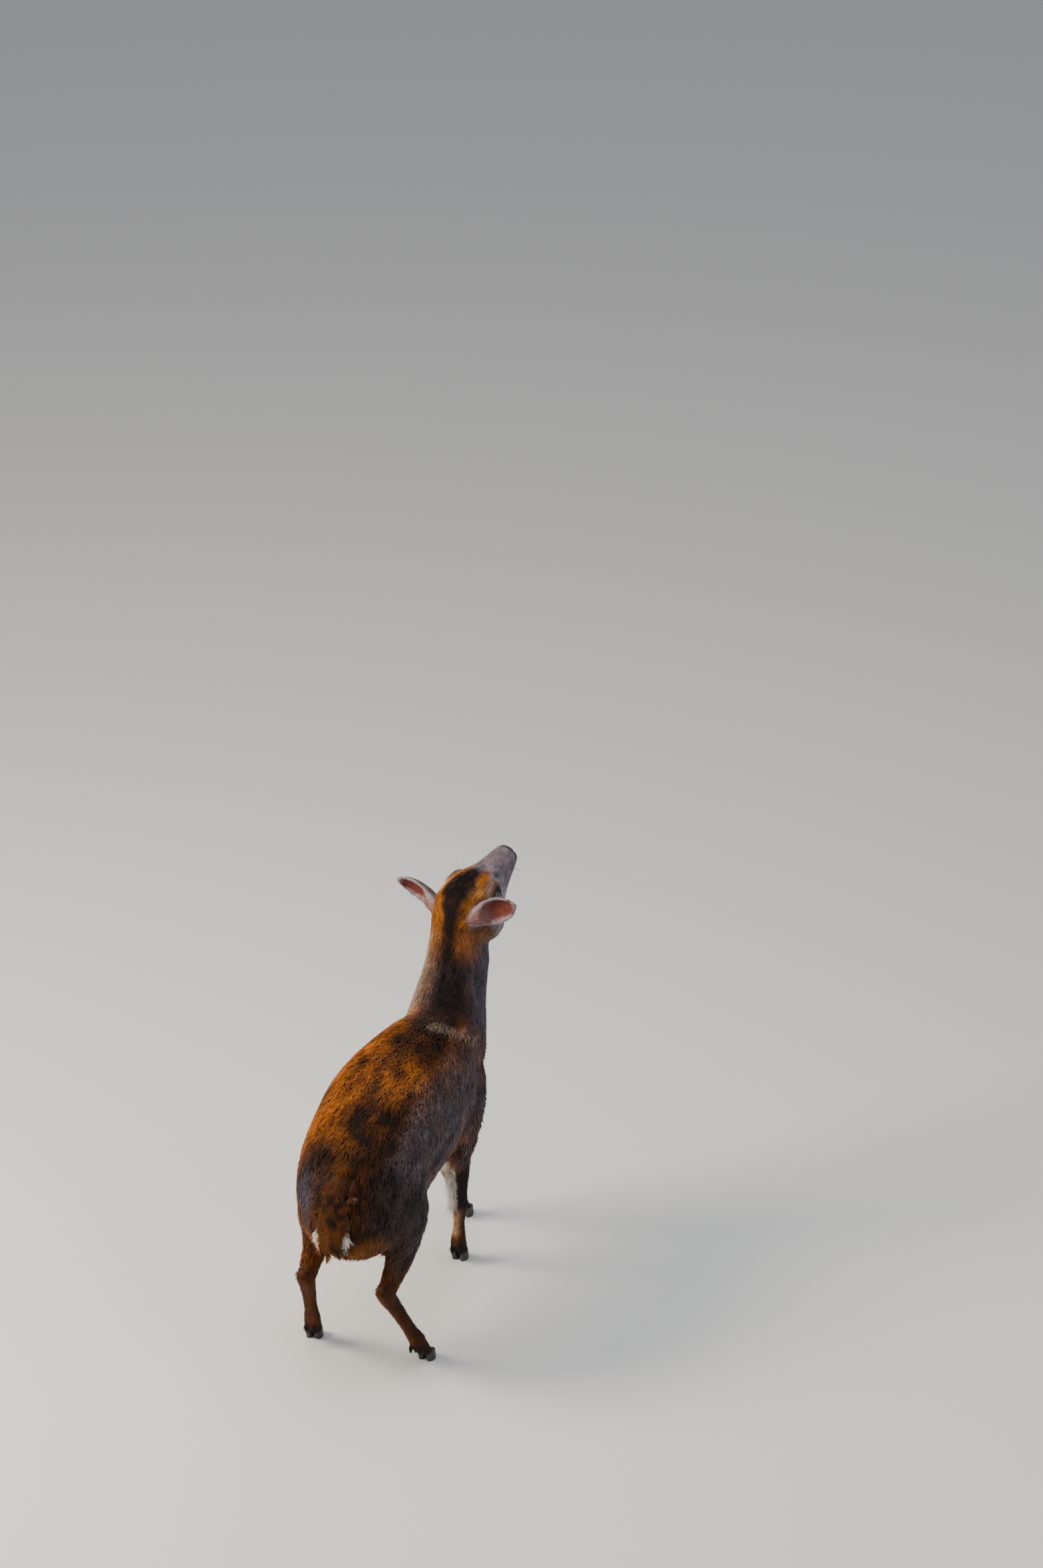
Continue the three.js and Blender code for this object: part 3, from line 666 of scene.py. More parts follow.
def head_colours(doe):
    """The dark kite of the forehead between two orange stripes, grey cheeks and a dusky muzzle."""
    head = in_head(doe)
    along, across, up = head.T
    side = np.abs(across)
    patch = mottle(doe, 9, SEED + 5)
    streak = mottle(head * [0.25, 1, 1], 2.6, SEED + 6)
    lock = mottle(head * [0.16, 1, 1], 4.4, SEED + 14)
    coat = Markings(GREY_BROWN, doe)
    coat.lay(CHEEK_GREY, (0.68 + 0.3 * patch) * ramp(-128, -112, along))
    cheek = ramp(-96, -78, along) * ramp(34, 20, up - 0.22 * along - 22) * ramp(10, 20, side)
    coat.lay(PALE_GREY, 0.8 * cheek * (0.9 + 0.4 * patch + 0.3 * streak))
    coat.lay(MUZZLE, 0.85 * ramp(-66, -40, along))
    coat.lay(CHESTNUT, 0.9 * (ramp(6, 30, up) * ramp(-52, -78, along)))
    half = np.interp(along, *zip(*KITE))
    middle = np.interp(along, (-165, -150, -138, -120), (-10, -9, -4, 0))
    off_kite = np.abs(across - middle) - half
    stripe = band(off_kite, 6, 6.0) * ramp(12, 26, up)
    coat.lay(STRIPE_ORANGE, 1.1 * stripe * ramp(-46, -76, along + 4 * streak))
    brow = sum(spot(head, (-103, 28 * sign, 46), (12, 12, 8)) for sign in (-1, 1))
    coat.lay(BROW_GOLD, 0.9 * brow * (1 + 0.5 * lock))
    behind = ramp(-126, -142, along) * ramp(2, 12, off_kite) * ramp(0, 18, up)
    coat.lay(STRIPE_ORANGE * 0.85, 0.75 * behind)
    dusky = ramp(24, 0, np.abs(off_kite - 4)) * ramp(-4, -12, across)
    dusky = dusky * ramp(-84, -104, along) * ramp(6, 20, up)
    coat.lay(NAPE, dusky * (0.34 + 0.9 * lock))
    kite = ramp(6.5, -6.5, off_kite + 3 * patch + 3.5 * streak + 3 * lock)
    kite = kite * ramp(14, 26, up) * ramp(-42, -54, along)
    coat.lay(NAPE, kite * (0.98 + 0.3 * streak + 0.25 * lock) * (0.7 + 0.3 * ramp(-58, -80, along)))
    for sign in (1, -1):
        round_eye = np.linalg.norm((head - EYE_OPENING * [1, sign, 1]) / LID_RADII, axis=1)
        coat.lay(BUFF, 0.4 * band(round_eye, 1.55, 0.22))
        coat.lay(BLACK_BROWN, 0.95 * ramp(1.15, 0.9, round_eye))
        coat.lay(BLACK_BROWN, 0.8 * gland_slit(head, sign))
        coat.lay(DARK_BROWN, 0.45 * spot(head, (-74, sign * 33, 16), (7, 10, 3)))
        coat.lay(NAPE, 0.75 * spot(head, (-57, sign * 22, 26), (8, 6, 6)))
    coat.lay(WHITE_HAIR, 0.7 * (ramp(-4, -16, up) * ramp(-105, -60, along)))
    coat.lay(BUFF * 0.75, 0.5 * (ramp(6, -14, up) * ramp(-84, -108, along)))
    coat.lay(STRIPE_ORANGE * 0.7, 0.5 * ramp(-112, -130, along) * ramp(20, 4, up) * ramp(-22, -8, up))
    coat.lay(BLACK_BROWN, 0.75 * mouth_line(head, 1.5, -60))
    coat.lay(PALE_GREY, 0.3 * (ramp(-18, -5, along) * ramp(2, 12, up)))
    return coat.toned(0.3 * streak + 0.16 * lock + 0.1 * patch)


def ear_colours(doe, normals, side):
    """A pale grey rim, a dark red-brown cup with a pink-grey base, and a brown back; the cup's red is the
    thin skin with painted sunlight shining through it.
    """
    root, reach, back, across_way = ear_frame(side)
    away = doe - root
    share = away @ reach / EAR_LENGTH
    across = np.abs(away @ across_way) / EAR_HALF_WIDTH
    inner = ramp(0.15, -0.25, normals @ back)
    streak = mottle(doe, 3, SEED + 7)
    coat = Markings(GREY_BROWN, doe)
    coat.lay(CHESTNUT, 0.5 + 0.3 * streak)
    outline = np.sqrt(np.clip(1 - ((share - 0.46) / 0.56) ** 2, 0.02, 1))
    rim = np.maximum(ramp(0.6, 0.88, across / outline + 0.08 * streak), ramp(0.84, 0.96, share))
    # The cup red-brown: the thin skin with painted sunlight shining through it
    coat.lay(EAR_RED_LIT_THROUGH, inner)
    coat.lay(EAR_PINK, 0.85 * inner * ramp(0.45, 0.1, share))
    coat.lay(PALE_GREY, 0.76 * rim * (0.3 + 0.7 * inner))
    return coat.toned(0.15 * streak)


def limb_colours(doe, normals, fore):
    """Tan behind, browner in front, darker to the foot; the forelegs black-brown in front."""
    x, _, z = doe.T
    patch = mottle(doe * [1, 1, 0.5], 14, SEED + 8)
    streak = mottle(doe * [1, 1, 0.22], 2.8, SEED + 9)
    coat = Markings(TAN, doe)
    front = ramp(0.35, -0.45, normals[:, 1] + 0.15 * patch)
    coat.lay(CHESTNUT, 0.3 + 0.5 * patch)
    coat.lay(BLACK_BROWN if fore else DARK_BROWN, front * (0.9 if fore else 0.7))
    inward = -normals[:, 0] * np.sign(x)
    if fore:
        rear = ramp(-0.2, 0.5, normals[:, 1] + 0.4 * inward)
        coat.lay(CANNON, 0.75 * rear * ramp(122, 104, z) * ramp(50, 66, z))
        coat.lay(BLACK_BROWN, 0.93 * ramp(0.6, 0.2, inward) * ramp(98, 126, z))
        coat.lay(BLACK_BROWN, 0.6 * ramp(0.0, -0.5, inward))
        white = ramp(0.0, 0.35, inward + 0.3 * normals[:, 1] - 0.15) * ramp(104, 124, z)
        coat.lay(WHITE_HAIR, 0.95 * white)
    else:
        coat.lay(GREY_BROWN, 0.5 * front * ramp(120, 180, z))
        coat.lay(DARK_BROWN, 0.5 * ramp(-0.1, 0.6, 0.2 * patch - inward) + 0.25 * streak)
    for claw in DEWCLAWS:
        coat.lay(BLACK_BROWN * 0.7, 1.3 * spot(doe, claw, (5.5, 6, 9)))
    coat.lay(BLACK_BROWN, 0.85 * ramp(50, 28, z))
    return coat.toned(0.26 * streak + 0.1 * patch)


def coat_colours(doe, normals, weights):
    """The markings of the whole skin, which the coat shares."""
    parts = [trunk_colours(doe, normals), neck_colours(doe, normals), head_colours(doe),
             *(ear_colours(doe, normals, side) for side in SIDES),
             *(limb_colours(doe, normals, fore) for fore in (False, True))]
    total = sum(weights[:, [k]] * part for k, part in enumerate(parts))
    return np.clip(total, 0.002, 1)


def paint(mesh, colours):
    """Keeps a colour at each vertex in the Coat attribute."""
    layer = mesh.color_attributes.new("Coat", "FLOAT_COLOR", "POINT")
    values = np.ones((len(colours), 4), np.float32)
    values[:, :3] = colours
    layer.data.foreach_set("color", values.ravel())


def sculpted(places, normals, weights):
    """Presses mouth, scent glands, fold and flank hollows into the skin and raises the brow's ridges."""
    doe = in_doe(places)
    head = in_head(doe)
    along, across, up = head.T
    depth = 1.5 * mouth_line(head, 1.1, -58)
    for sign in (1, -1):
        depth += 1.8 * gland_slit(head, sign)
        ridge = band(sign * across - 13 - 0.05 * (along + 100), 0, 3.4)
        depth -= 1.2 * ridge * ramp(28, 40, up) * ramp(-62, -76, along) * ramp(-140, -120, along)
    depth *= weights[:, 2]
    depth -= 2.6 * fold_ridge_highlight(doe, 5.5)
    depth += 2.2 * band(fold_under(doe), 8, 7)
    for sign in (1, -1):
        depth += 5.0 * spot(doe, (sign * 88, 172, 305), (40, 26, 46)) * weights[:, 0]
        depth += 3.5 * spot(doe, (sign * 84, 8, 300), (40, 20, 60)) * weights[:, 0]
    return places - (depth * MM)[:, None] * normals


def build_skin():
    """One skin over all the flesh, inside the solids by the depth of the coat."""
    skin = remade("skin", FLESH, skin_material(), SKIN_VOXEL, SEAM_CLOSING)
    smooth_skin(skin.data)
    thin_out(skin)
    mesh = skin.data
    weights = group_weights(mesh)
    places = points_of(mesh)
    normals = normals_of(mesh)
    places = places - normals * (coat_depth(in_doe(places), weights) * MM)[:, None]
    put_points(mesh, places)
    places = sculpted(places, normals_of(mesh), weights)
    put_points(mesh, places)
    normals = normals_of(mesh)
    paint(mesh, coat_colours(in_doe(places), normals, weights))
    mesh.shade_smooth()
    unwrap(skin)
    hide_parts(*FLESH)
    return skin, weights


def unwrap(skin):
    """Lays the skin out flat in the OFBake map."""
    skin.data.uv_layers.new(name="OFBake")
    select_only(skin)
    bpy.ops.object.mode_set(mode="EDIT")
    bpy.ops.mesh.select_all(action="SELECT")
    bpy.ops.uv.smart_project(angle_limit=math.radians(66), island_margin=0.002)
    bpy.ops.object.mode_set(mode="OBJECT")


# Coat

class Hide:
    """A skin as arrays, for rooting tufts on it. Depth is how far the coat stands over it, in metres."""

    def __init__(self, piece, lie, depth):
        mesh = piece.data
        self.corners = read(mesh.polygons, "vertices", 3, np.int32)
        self.flat = read(mesh.uv_layers["OFBake"].uv, "vector", 2).reshape(-1, 3, 2).astype(float)
        self.places = points_of(mesh)
        self.normals = normals_of(mesh)
        self.lie = lie
        self.depth = depth
        self.colours = read(mesh.color_attributes["Coat"].data, "color", 4)[:, :3].astype(float)
        a, b, c = (self.places[self.corners[:, k]] for k in range(3))
        self.areas = np.linalg.norm(np.cross(b - a, c - a), axis=1) / 2

    def face_values(self, values):
        """The mean of a vertex value over each triangle."""
        return values[self.corners].mean(axis=1)

    def take_roots(self, density, count, rng):
        """Picks evenly spread roots, more where the density is greater, and keeps them for at()."""
        reach = np.cumsum(self.areas * density)
        picks = (np.arange(count) + rng.uniform(0, 1, count)) / count * reach[-1]
        faces = np.searchsorted(reach, picks)
        u, v = rng.uniform(0, 1, (2, count))
        over = u + v > 1
        u[over], v[over] = 1 - u[over], 1 - v[over]
        self.faces, self.shares = faces, np.stack([1 - u - v, u, v], 1)

    def at(self, values):
        """A vertex value at each root."""
        return np.einsum("nk,nk...->n...", self.shares, values[self.corners[self.faces]])


def tuft_mesh(name, roots, ways, normals, sizes, rises, bends, colours, shades, flat, lying=False):
    """One mesh of many flat tapered tufts. Sizes are length and width; rises lift the middle and the tip.

    Tufts that lie on the skin take their shading from it, so that the coat looks soft.
    """
    count = len(roots)
    length, width = sizes[:, [0]], sizes[:, [1]]
    side = unit(np.cross(normals, ways))
    middle = roots + ways * length * 0.48 + normals * rises[:, [0]]
    tip = roots + ways * length + normals * rises[:, [1]] + bends
    low = roots - normals * ROOT_DEPTH
    thick = normals * width * 0.32
    points = np.stack([low - side * width * 0.42, low + side * width * 0.42, low + thick,
                       middle - side * width * 0.5, middle + side * width * 0.5, middle + thick, tip], 1)
    mesh = bpy.data.meshes.new(name)
    mesh.vertices.add(count * 7)
    mesh.vertices.foreach_set("co", points.astype(np.float32).ravel())
    pattern = np.concatenate(TUFT_FACES)
    each = np.arange(count)[:, None]
    loops = (pattern + 7 * each).ravel()
    mesh.loops.add(len(loops))
    mesh.loops.foreach_set("vertex_index", loops.astype(np.int32))
    starts = np.cumsum([0] + [len(face) for face in TUFT_FACES[:-1]])
    mesh.polygons.add(count * len(TUFT_FACES))
    mesh.polygons.foreach_set("loop_start", (starts + len(pattern) * each).astype(np.int32).ravel())
    mesh.update(calc_edges=True)
    # Each tuft's colour times its shades: painted shade at the root and middle, lighter at the tip
    shade = np.stack([shades[:, 0]] * 3 + [shades[:, 1]] * 3 + [shades[:, 2]], 1)
    paint(mesh, np.clip((colours[:, None, :] * shade[:, :, None]).reshape(-1, 3), 0.001, 1))
    corner_spots = np.array([[-.4, -.5], [.4, -.5], [0, -.4], [-.4, 0], [.4, 0], [0, 0.1], [0, .5]])
    spots = (flat[:, None, :] + BAKE_PATCH * corner_spots).reshape(-1, 2)
    layer = mesh.uv_layers.new(name="OFBake")
    layer.uv.foreach_set("vector", spots[loops].astype(np.float32).ravel())
    mesh.shade_smooth()
    if lying:
        turns = np.array([-1, 1, 0, -1, 1, 0, 0])[:, None] * side[:, None, :] * SOFT_TURN
        soft = unit(normals[:, None, :] + turns).reshape(-1, 3)
        mesh.normals_split_custom_set_from_vertices(soft.tolist())
    return mesh


def grow_coat(hide, name, share, plan, seed):
    """The tufts of one part of the coat, in pieces under the triangle budget."""
    rng = np.random.default_rng(seed)
    hide.take_roots(hide.face_values(share), plan["tufts"], rng)
    roots, depth, colours = hide.at(hide.places), hide.at(hide.depth), hide.at(hide.colours)
    normals, ways = unit(hide.at(hide.normals)), unit(hide.at(hide.lie))
    flat = np.einsum("nk,nkj->nj", hide.shares, hide.flat[hide.faces])
    doe = in_doe(roots)

    def chance():
        return rng.standard_normal(len(roots))

    coarse = plan.get("lock", 1.0)
    swirl = 0.16 * mottle(doe, 30 * coarse, seed + 1) + 0.2 * mottle(doe, 11 * coarse, seed + 2)
    swirl += 0.24 * mottle(doe, 4.5 * coarse, seed + 4)
    turn = swirl + plan["stray"] * chance()
    side = unit(np.cross(normals, ways))
    ways = unit(ways * np.cos(turn)[:, None] + side * np.sin(turn)[:, None])
    size = (1 + 0.2 * chance()).clip(0.5, 1.6)
    reach = (depth / MM / plan["depth"]).clip(0.2, 1.3)
    sizes = np.stack([plan["length"] * size * reach ** 0.6, plan["width"] * (0.75 + 0.25 * size)], 1) * MM
    clump = mottle(doe, 6, seed + 3)
    lift = (0.92 + 0.12 * clump + 0.1 * chance()).clip(0.6, 1.2)
    rises = np.stack([0.62 * depth * lift + 0.0002, 0.98 * depth * lift + 0.0003], 1)
    tone = (1 + plan.get("tone", 0.13) * chance() + 0.24 * clump).clip(0.4, 1.7)
    tips = TIP_TONE + 0.22 * chance()
    # Painted shade at each tuft's root and middle and a lighter tip, times the tuft's own tone
    shades = np.stack([ROOT_PAINTED_SHADE * tone, MIDDLE_PAINTED_SHADE * tone, tips * tone], 1)
    bends = np.zeros((len(roots), 3))
    if "hang" in plan:
        ways = unit(plan["hang"](doe) + 0.16 * rng.standard_normal((len(roots), 3)))
        normals = unit(normals - np.sum(normals * ways, 1, keepdims=True) * ways)
        bends[:, 2] = -0.25 * sizes[:, 0]
        rises *= 0.1
    tufts = (roots, ways, normals, sizes, rises, bends, colours, shades.clip(0.1, 2.6), flat)
    parts = math.ceil(len(roots) / (PIECE_TRIANGLES // TUFT_TRIANGLES))
    for k, chosen in enumerate(np.array_split(np.arange(len(roots)), parts)):
        mesh = tuft_mesh(f"{name}_{k + 1}", *(values[chosen] for values in tufts), plan.get("lying", True))
        new_piece(mesh.name, mesh, coat_material())


def fringe_way(doe):
    """The way that the long hairs behind a forearm hang: inwards, back and down."""
    inward = -np.sign(doe[:, [0]])
    return np.hstack([0.2 * inward, np.full_like(inward, 0.45), np.full_like(inward, -0.87)])


# Each part's number of tufts, their length and width, how far they stray, and the depth of the coat; then
# how much their tone varies, how coarse their locks are, and the way long hair hangs
COAT = {
    "coat_trunk": dict(tufts=76000, length=17.0, width=1.5, stray=0.15, depth=5.0, tone=0.26),
    "coat_neck": dict(tufts=19000, length=14.0, width=1.3, stray=0.14, depth=4.6, tone=0.2),
    "coat_head": dict(tufts=24000, length=6.5, width=0.8, stray=0.14, depth=1.7, lock=0.6),
    "coat_ears": dict(tufts=9000, length=4.6, width=0.55, stray=0.14, depth=0.2, lock=0.5),
    "coat_hind_limbs": dict(tufts=12000, length=7.5, width=0.9, stray=0.12, depth=1.6, lock=0.6),
    "coat_fore_limbs": dict(tufts=11000, length=7.5, width=0.9, stray=0.12, depth=1.6, lock=0.6),
    "forearm_fringe": dict(tufts=1500, length=17.0, width=0.8, stray=0.1, depth=1.6, hang=fringe_way,
                           lying=False),
    "coat_tail": dict(tufts=8500, length=12.0, width=1.2, stray=0.14, depth=2.4, lock=0.8),
}


def fringe_roots(doe, normals):
    """1 on the inner rear edge of the forearms, where the long white hairs root."""
    x, _, z = doe.T
    edge = ramp(0.5, 0.85, 0.45 * normals[:, 1] - 0.89 * normals[:, 0] * np.sign(x))
    return edge * ramp(112, 126, z) * ramp(206, 188, z)


def cover_with_coat(hide, weights):
    """The coat over all of the skin, and the fringe behind the forearms."""
    doe = in_doe(hide.places)
    trunk, neck, head, ear_left, ear_right, hind_limb, fore_limb = weights.T
    beside_eye = ramp(0.98, 1.1, eye_nearness(doe)[0])
    off_claws = ramp(1.3, 0.7, np.max([spot(doe, claw, (5, 5, 8)) for claw in DEWCLAWS], axis=0))
    shares = {
        "coat_trunk": trunk,
        "coat_neck": neck,
        "coat_head": head * beside_eye * (1 + 0.8 * ramp(-90, -30, in_head(doe)[:, 0])),
        "coat_ears": ear_left + ear_right,
        "coat_hind_limbs": hind_limb * off_claws,
        "coat_fore_limbs": fore_limb * off_claws,
        "forearm_fringe": fore_limb * fringe_roots(doe, hide.normals),
    }
    for number, (name, share) in enumerate(shares.items()):
        grow_coat(hide, name, share, COAT[name], SEED + 100 * (number + 1))


# Tail

def tail_colours(doe, normals):
    """Like the rump at its root, dark orange-brown below, white under it and low on its two sides; a dark
    maroon spot low in its middle is its own brown with painted shade in it.
    """
    x, _, z = doe.T
    streak = mottle(doe * [1, 1, 0.2], 3, SEED + 11)
    across = np.abs(x + 3)
    coat = Markings(trunk_colours(doe, normals), doe)
    low = ramp(312, 288, z + 5 * streak)
    coat.lay(STRIPE_ORANGE * 0.36, low * (0.85 + 0.3 * streak))
    # A dark maroon spot low in the middle of the tail: its own dark brown with painted shade in it
    coat.lay(MAROON_AND_SHADE, 0.9 * spot(doe, (-10, 374, 270), (9, 40, 15)) + 0.2 * low * streak)
    side = ramp(13, 17, across + 1.2 * streak) * ramp(15, 8, np.abs(z - 278))
    under = ramp(-0.1, -0.6, normals[:, 1]) * ramp(322, 308, z) * ramp(256, 266, z)
    coat.lay(WHITE_HAIR * 0.8, np.maximum(side, 0.9 * under))
    return coat.colours


def build_tail():
    """The tail's core with its coat of long hair."""
    core = remade("tail_core", ["tail"], skin_material(), TAIL_VOXEL)
    apply_modifier(core, "TRIANGULATE")
    mesh = core.data
    places = neighbours_of(mesh).relaxed(points_of(mesh), 0.6, 14)
    put_points(mesh, places)
    normals = normals_of(mesh)
    doe = in_doe(places - normals * TAIL_INSET)
    toward_rump = np.interp(doe[:, 2], (258, 290, 335, 352), (3, 8, 14, 8))
    toward_rump *= ramp(0.7, -0.1, normals[:, 1])
    doe[:, 1] -= toward_rump + 7 * ramp(342, 362, doe[:, 2])
    put_points(mesh, in_frame(doe))
    normals = normals_of(mesh)
    paint(mesh, tail_colours(doe, normals))
    mesh.shade_smooth()
    unwrap(core)
    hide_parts("tail")
    fan = np.stack([0.022 * (doe[:, 0] + 3), np.full(len(doe), 0.1), np.full(len(doe), -1.0)], 1)
    lie = unit(fan - np.sum(fan * normals, 1, keepdims=True) * normals)
    hide = Hide(core, lie, np.full(len(doe), COAT["coat_tail"]["depth"] * MM))
    outside = np.maximum(ramp(-0.3, 0.25, normals[:, 1]), ramp(302, 286, doe[:, 2]))
    grow_coat(hide, "coat_tail", outside, COAT["coat_tail"], SEED + 900)


# Eyes, nose, hooves and whiskers

def build_eye(side):
    """One eyeball, its clear front bulged and its iris laid out on a map of its own."""
    sign = SIDES[side]
    bpy.ops.mesh.primitive_uv_sphere_add(segments=64, ring_count=48, radius=1)
    eye = bpy.context.active_object
    eye.name = f"eyeball_{side}"
    mesh = eye.data
    round_places = points_of(mesh)
    front = round_places[:, 2]
    bulge = 1 + 0.085 * ramp(0.74, 1.0, front)
    look = headward(0.24, 0.93 * sign, 0.2)
    level = unit(np.cross(np.array([0.0, 0.0, 1.0]), look))
    above = np.cross(look, level)
    ball = round_places * bulge[:, None] * EYE_RADIUS
    turned = ball[:, [0]] * level + ball[:, [1]] * above + ball[:, [2]] * look
    centre = on_head(EYE_AT[0], sign * EYE_AT[1], EYE_AT[2])
    loops = read(mesh.loops, "vertex_index", 1, np.int32).ravel()
    iris = mesh.uv_layers.active or mesh.uv_layers.new(name="UVMap")
    flat = 0.5 + 0.5 * round_places[:, :2]
    flat[front < 0] = 0.5 + 0.5 * unit(round_places[front < 0, :2])
    iris.uv.foreach_set("vector", flat[loops].astype(np.float32).ravel())
    put_points(mesh, in_frame(turned + centre))
    mesh.shade_smooth()
    dress(eye, eye_material())
    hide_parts(f"eye_{side}")


def rounded_copy(name, nodes, voxel, turns, material, shape=None):
    """Nodes remade as one fine smooth mesh that stays on its sole."""
    piece = remade(name, nodes, material, voxel)
    mesh = piece.data
    places = points_of(mesh)
    sole = places[:, 2] < 2 * voxel
    ring = neighbours_of(mesh)
    for _ in range(turns):
        moved = ring.relaxed(places, 0.6)
        moved[sole, 2] = places[sole, 2]
        places = moved
    put_points(mesh, places if shape is None else shape(places))
    mesh.shade_smooth()
    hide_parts(*nodes)


def pointed_toes(places):
    """Draws each half of a hoof in to a point at its toe, and leans its heel back under the fetlock."""
    doe = in_doe(places)
    shaped = doe.copy()
    cleft = np.median(doe[:, 0])
    for half in (doe[:, 0] > cleft, doe[:, 0] <= cleft):
        x, y, z = doe[half].T
        middle = (x.max() + x.min()) / 2
        inner = middle + 0.5 * np.sign(cleft - middle) * (x.max() - x.min()) * 0.5
        toe = ramp(np.quantile(y, 0.45), y.min(), y)
        shaped[half, 0] = x + (inner - x) * 0.55 * toe
        heel = ramp(np.quantile(y, 0.4), y.max(), y) * ramp(0, z.max(), z)
        shaped[half, 1] += 8 * heel
        shaped[half, 2] *= 1 - 0.25 * toe + 0.12 * heel
    return in_frame(shaped)


# Places on the head, each with a whisker's length
WHISKERS = [(-14, 12, 2, 20), (-20, 15, -3, 24), (-26, 17, 2, 22), (-32, 19, -6, 24), (-22, 13, -12, 18),
            (-12, 8, -14, 16), (-34, 16, -14, 18), (-76, 30, 36, 20), (-80, 33, 35, 16)]
WHISKER_WIDTH = 0.34


def add_whiskers(hide):
    """Stiff dark hairs on the muzzle, over the eyes and on the chin, and lashes on the upper lids."""
    rng = np.random.default_rng(SEED + 50)
    places = in_head(in_doe(hide.places))
    lashes = [(-97 + 3.4 * k, 42 - 0.25 * (k - 3) ** 2, 30.5 - 0.35 * (k - 3) ** 2, 8) for k in range(8)]
    roots, ways, sizes = [], [], []
    for along, across, up, length in WHISKERS + lashes:
        for sign in (1, -1):
            near = np.argmin(np.linalg.norm(places - [along, sign * across, up], axis=1))
            roots.append(near)
            out = hide.normals[near] * 0.9 - HEAD_FORWARD * 0.25 + 0.14 * rng.standard_normal(3)
            ways.append(unit(out))
            sizes.append((length * (1 + 0.12 * rng.standard_normal()), WHISKER_WIDTH))
    roots, ways = np.array(roots), np.array(ways)
    normals = unit(np.cross(ways, np.cross(hide.normals[roots], ways) + 1e-4))
    flat = np.zeros((len(roots), 2))
    for k, vertex in enumerate(roots):
        face = np.nonzero((hide.corners == vertex).any(axis=1))[0][0]
        flat[k] = hide.flat[face].mean(axis=0)
    count = len(roots)
    bends = np.tile([0.0, 0.0, -0.0016], (count, 1))
    mesh = tuft_mesh("whiskers", hide.places[roots], ways, normals, np.array(sizes) * MM,
                     np.zeros((count, 2)), bends, np.tile(NAPE, (count, 1)), np.ones((count, 3)), flat)
    new_piece("whiskers", mesh, coat_material())


# Materials

def with_inputs(node, **inputs):
    """A node with values on its sockets."""
    for name, value in inputs.items():
        node.inputs[name.replace("_", " ")].default_value = value
    return node


class Look:
    """A new node material, with short ways to add and join nodes and to colour its shader."""

    def __init__(self, name, **looks):
        self.material = bpy.data.materials.new(name)
        self.material.use_nodes = True
        tree = self.material.node_tree
        self.nodes, self.join = tree.nodes, tree.links.new
        self.shader = with_inputs(tree.nodes["Principled BSDF"], **looks)

    def add(self, kind, **inputs):
        """A new node with values on its sockets."""
        return with_inputs(self.nodes.new("ShaderNode" + kind), **inputs)

    def streaks(self, stretch, scale):
        """Noise drawn out along a direction, in the object's own coordinates."""
        mapping = self.add("Mapping", Scale=stretch)
        noise = self.add("TexNoise", Scale=scale, Detail=4.0, Roughness=0.6)
        self.join(self.add("TexCoord").outputs["Object"], mapping.inputs["Vector"])
        self.join(mapping.outputs["Vector"], noise.inputs["Vector"])
        return noise.outputs["Fac"]

    def marked(self, factor, low, high):
        """Takes the colour of the piece's markings, darker or lighter by a factor between two bounds."""
        colour = self.add("Attribute")
        colour.attribute_name = "Coat"
        spread = self.add("MapRange", To_Min=low, To_Max=high)
        mix = self.add("Mix")
        mix.data_type = "RGBA"
        mix.blend_type = "MULTIPLY"
        mix.inputs[0].default_value = 1.0
        self.join(factor, spread.inputs["Value"])
        self.join(colour.outputs["Color"], mix.inputs[6])
        self.join(spread.outputs["Result"], mix.inputs[7])
        self.join(mix.outputs[2], self.shader.inputs["Base Color"])

    def banded(self, factor, stops):
        """Takes its colour from a factor, by places and colours in rising order."""
        bands = self.add("ValToRGB")
        elements = bands.color_ramp.elements
        for number, (place, colour) in enumerate(stops):
            stop = elements[number] if number < 2 else elements.new(place)
            stop.position = place
            stop.color = (*colour, 1)
        self.join(factor, bands.inputs["Fac"])
        self.join(bands.outputs["Color"], self.shader.inputs["Base Color"])

    def bumped(self, height, strength, distance):
        """Takes a bump from a height."""
        node = self.add("Bump", Strength=strength, Distance=distance)
        self.join(height, node.inputs["Height"])
        self.join(node.outputs["Normal"], self.shader.inputs["Normal"])


@cache
def skin_material():
    """Short flat hair seen as fine streaks over the skin's markings."""
    look = Look("short_hair_on_skin", Roughness=0.75, Specular_IOR_Level=0.25)
    hair = look.streaks((1, 0.2, 0.45), 700)
    look.marked(hair, 0.45, 1.15)
    look.bumped(hair, 0.5, 0.0008)
    return look.material


@cache
def coat_material():
    """Soft hair with a faint sheen, each tuft in its own tone."""
    look = Look("coat_hair", Roughness=0.7, Specular_IOR_Level=0.1, Sheen_Weight=0.04, Sheen_Roughness=0.5)
    look.marked(look.streaks((1, 0.3, 0.5), 1500), 0.75, 1.2)
    return look.material


@cache
def eye_material():
    """A wet dark brown eye with a level oval pupil."""
    look = Look("wet_eye", Roughness=0.06, Coat_Weight=0.8, Coat_Roughness=0.03)
    centred = look.add("Mapping", Location=(-0.85, -1.25, 0), Scale=(1.7, 2.5, 1))
    oval = look.add("VectorMath")
    oval.operation = "LENGTH"
    look.join(look.add("UVMap").outputs["UV"], centred.inputs["Vector"])
    look.join(centred.outputs["Vector"], oval.inputs[0])
    pupil, iris, rim, edge = (.003, .003, .004), (.05, .021, .009), (.03, .012, .006), (.006, .004, .003)
    look.banded(oval.outputs["Value"], [(0.42, pupil), (0.5, iris), (0.8, rim), (0.9, edge)])
    return look.material


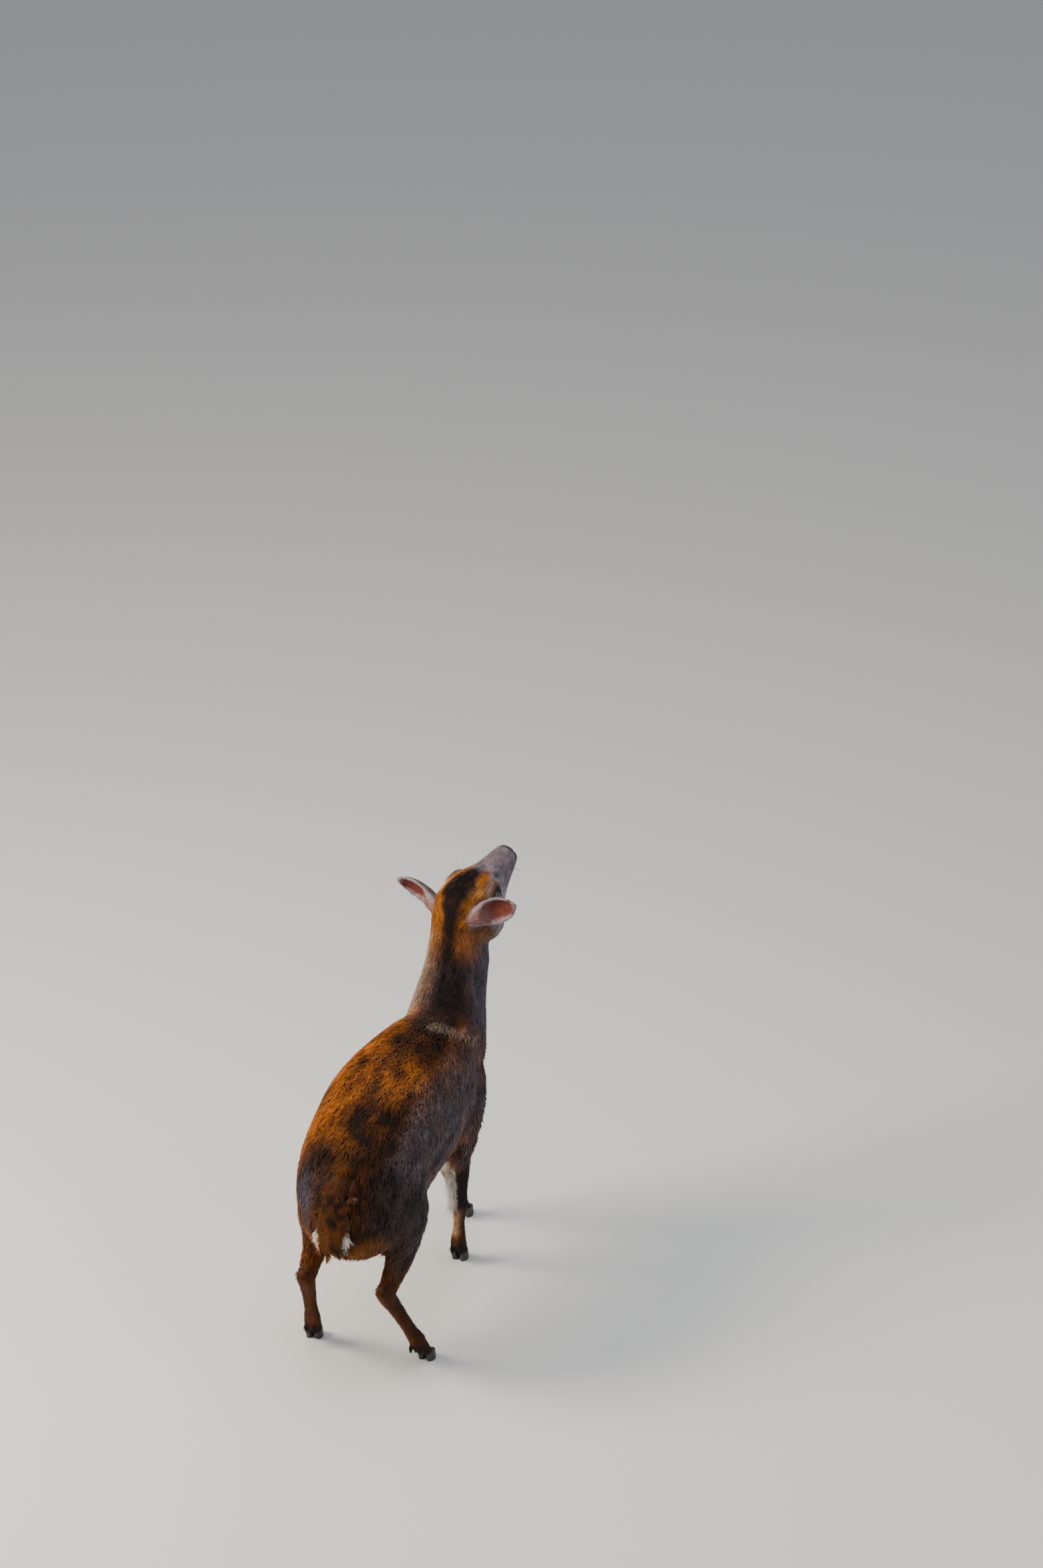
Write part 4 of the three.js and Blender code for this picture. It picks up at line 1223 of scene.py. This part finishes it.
@cache
def nose_material():
    """Moist dark leather, finely pebbled."""
    look = Look("moist_nose", Base_Color=(.022, .018, .018, 1), Roughness=0.33, Specular_IOR_Level=0.6)
    cells = look.add("TexVoronoi", Scale=900.0)
    look.join(look.add("TexCoord").outputs["Object"], cells.inputs["Vector"])
    look.bumped(cells.outputs["Distance"], 0.45, 0.0005)
    return look.material


@cache
def horn_material():
    """Dark hoof horn with fine growth rings."""
    look = Look("hoof_horn", Roughness=0.45)
    rings = look.streaks((0.15, 0.15, 1.6), 420)
    look.banded(rings, [(0.35, (0.010, 0.008, 0.007)), (0.75, (0.046, 0.036, 0.028))])
    look.bumped(rings, 0.4, 0.0006)
    return look.material


# Floor, light and camera

def floor_material():
    """Matt pale paper with the faintest grain."""
    look = Look("pale_floor", Base_Color=(0.72, 0.72, 0.7, 1), Roughness=0.9)
    look.bumped(look.streaks((1, 1, 1), 60), 0.05, 0.001)
    return look.material


def lay_floor():
    """A wide pale floor under the hooves."""
    bpy.ops.mesh.primitive_plane_add(size=400, location=(0, 0, 0))
    floor = bpy.context.active_object
    floor.name = "floor"
    floor.data.materials.append(floor_material())


def area_light(name, spot_at, aim, size, power, colour):
    """A soft square light that looks at a place."""
    lamp = bpy.data.lights.new(name, "AREA")
    lamp.size = size
    lamp.energy = power
    lamp.color = colour
    light = bpy.data.objects.new(name, lamp)
    light.location = spot_at
    light.rotation_euler = (Vector(aim) - Vector(spot_at)).to_track_quat("-Z", "Y").to_euler()
    bpy.context.scene.collection.objects.link(light)


def light_studio():
    """A warm key from the doe's left and behind, a cool fill from its right and a soft sky."""
    aim = (0, 0, 0.3)
    area_light("key", (2.0, 1.2, 2.0), aim, 1.2, 120, (1.0, 0.87, 0.7))
    area_light("fill", (-2.6, 0.6, 1.6), aim, 2.2, 26, (0.84, 0.9, 1.0))
    area_light("top", (0.1, 0.3, 3.2), aim, 2.6, 55, (1.0, 0.98, 0.95))
    world = bpy.data.worlds.new("studio")
    bpy.context.scene.world = world
    world.use_nodes = True
    with_inputs(world.node_tree.nodes["Background"], Color=(0.86, 0.9, 1.0, 1), Strength=0.37)


def set_camera():
    """The camera behind and above the doe's right side, with the photograph's framing."""
    data = bpy.data.cameras.new("camera")
    data.sensor_fit = "VERTICAL"
    data.sensor_height = SENSOR_LONG_SIDE
    data.lens = FOCAL_LENGTH
    data.clip_end = 100
    yaw, pitch = math.radians(CAMERA_YAW), math.radians(CAMERA_PITCH)
    forward = Vector((math.cos(yaw) * math.cos(pitch), math.sin(yaw) * math.cos(pitch), math.sin(pitch)))
    camera = bpy.data.objects.new("camera", data)
    camera.location = Vector(CAMERA_AT) + Vector(ORIGIN)
    camera.rotation_euler = forward.to_track_quat("-Z", "Y").to_euler()
    bpy.context.scene.collection.objects.link(camera)
    bpy.context.scene.camera = camera


set_camera()
light_studio()
lay_floor()
skin, skin_weights = build_skin()
doe_places = in_doe(points_of(skin.data))
hide = Hide(skin, coat_lie(doe_places, normals_of(skin.data), skin_weights),
            coat_depth(doe_places, skin_weights) * MM)
cover_with_coat(hide, skin_weights)
add_whiskers(hide)
build_tail()
for side in SIDES:
    build_eye(side)
rounded_copy("nose", ["nose_pad"], NOSE_VOXEL, 5, nose_material())
for leg in ("hind_left", "hind_right", "fore_left", "fore_right"):
    hooves = [f"{leg}_hoof_outer", f"{leg}_hoof_inner"]
    rounded_copy(f"hooves_{leg}", hooves, HOOF_VOXEL, 7, horn_material(), pointed_toes)
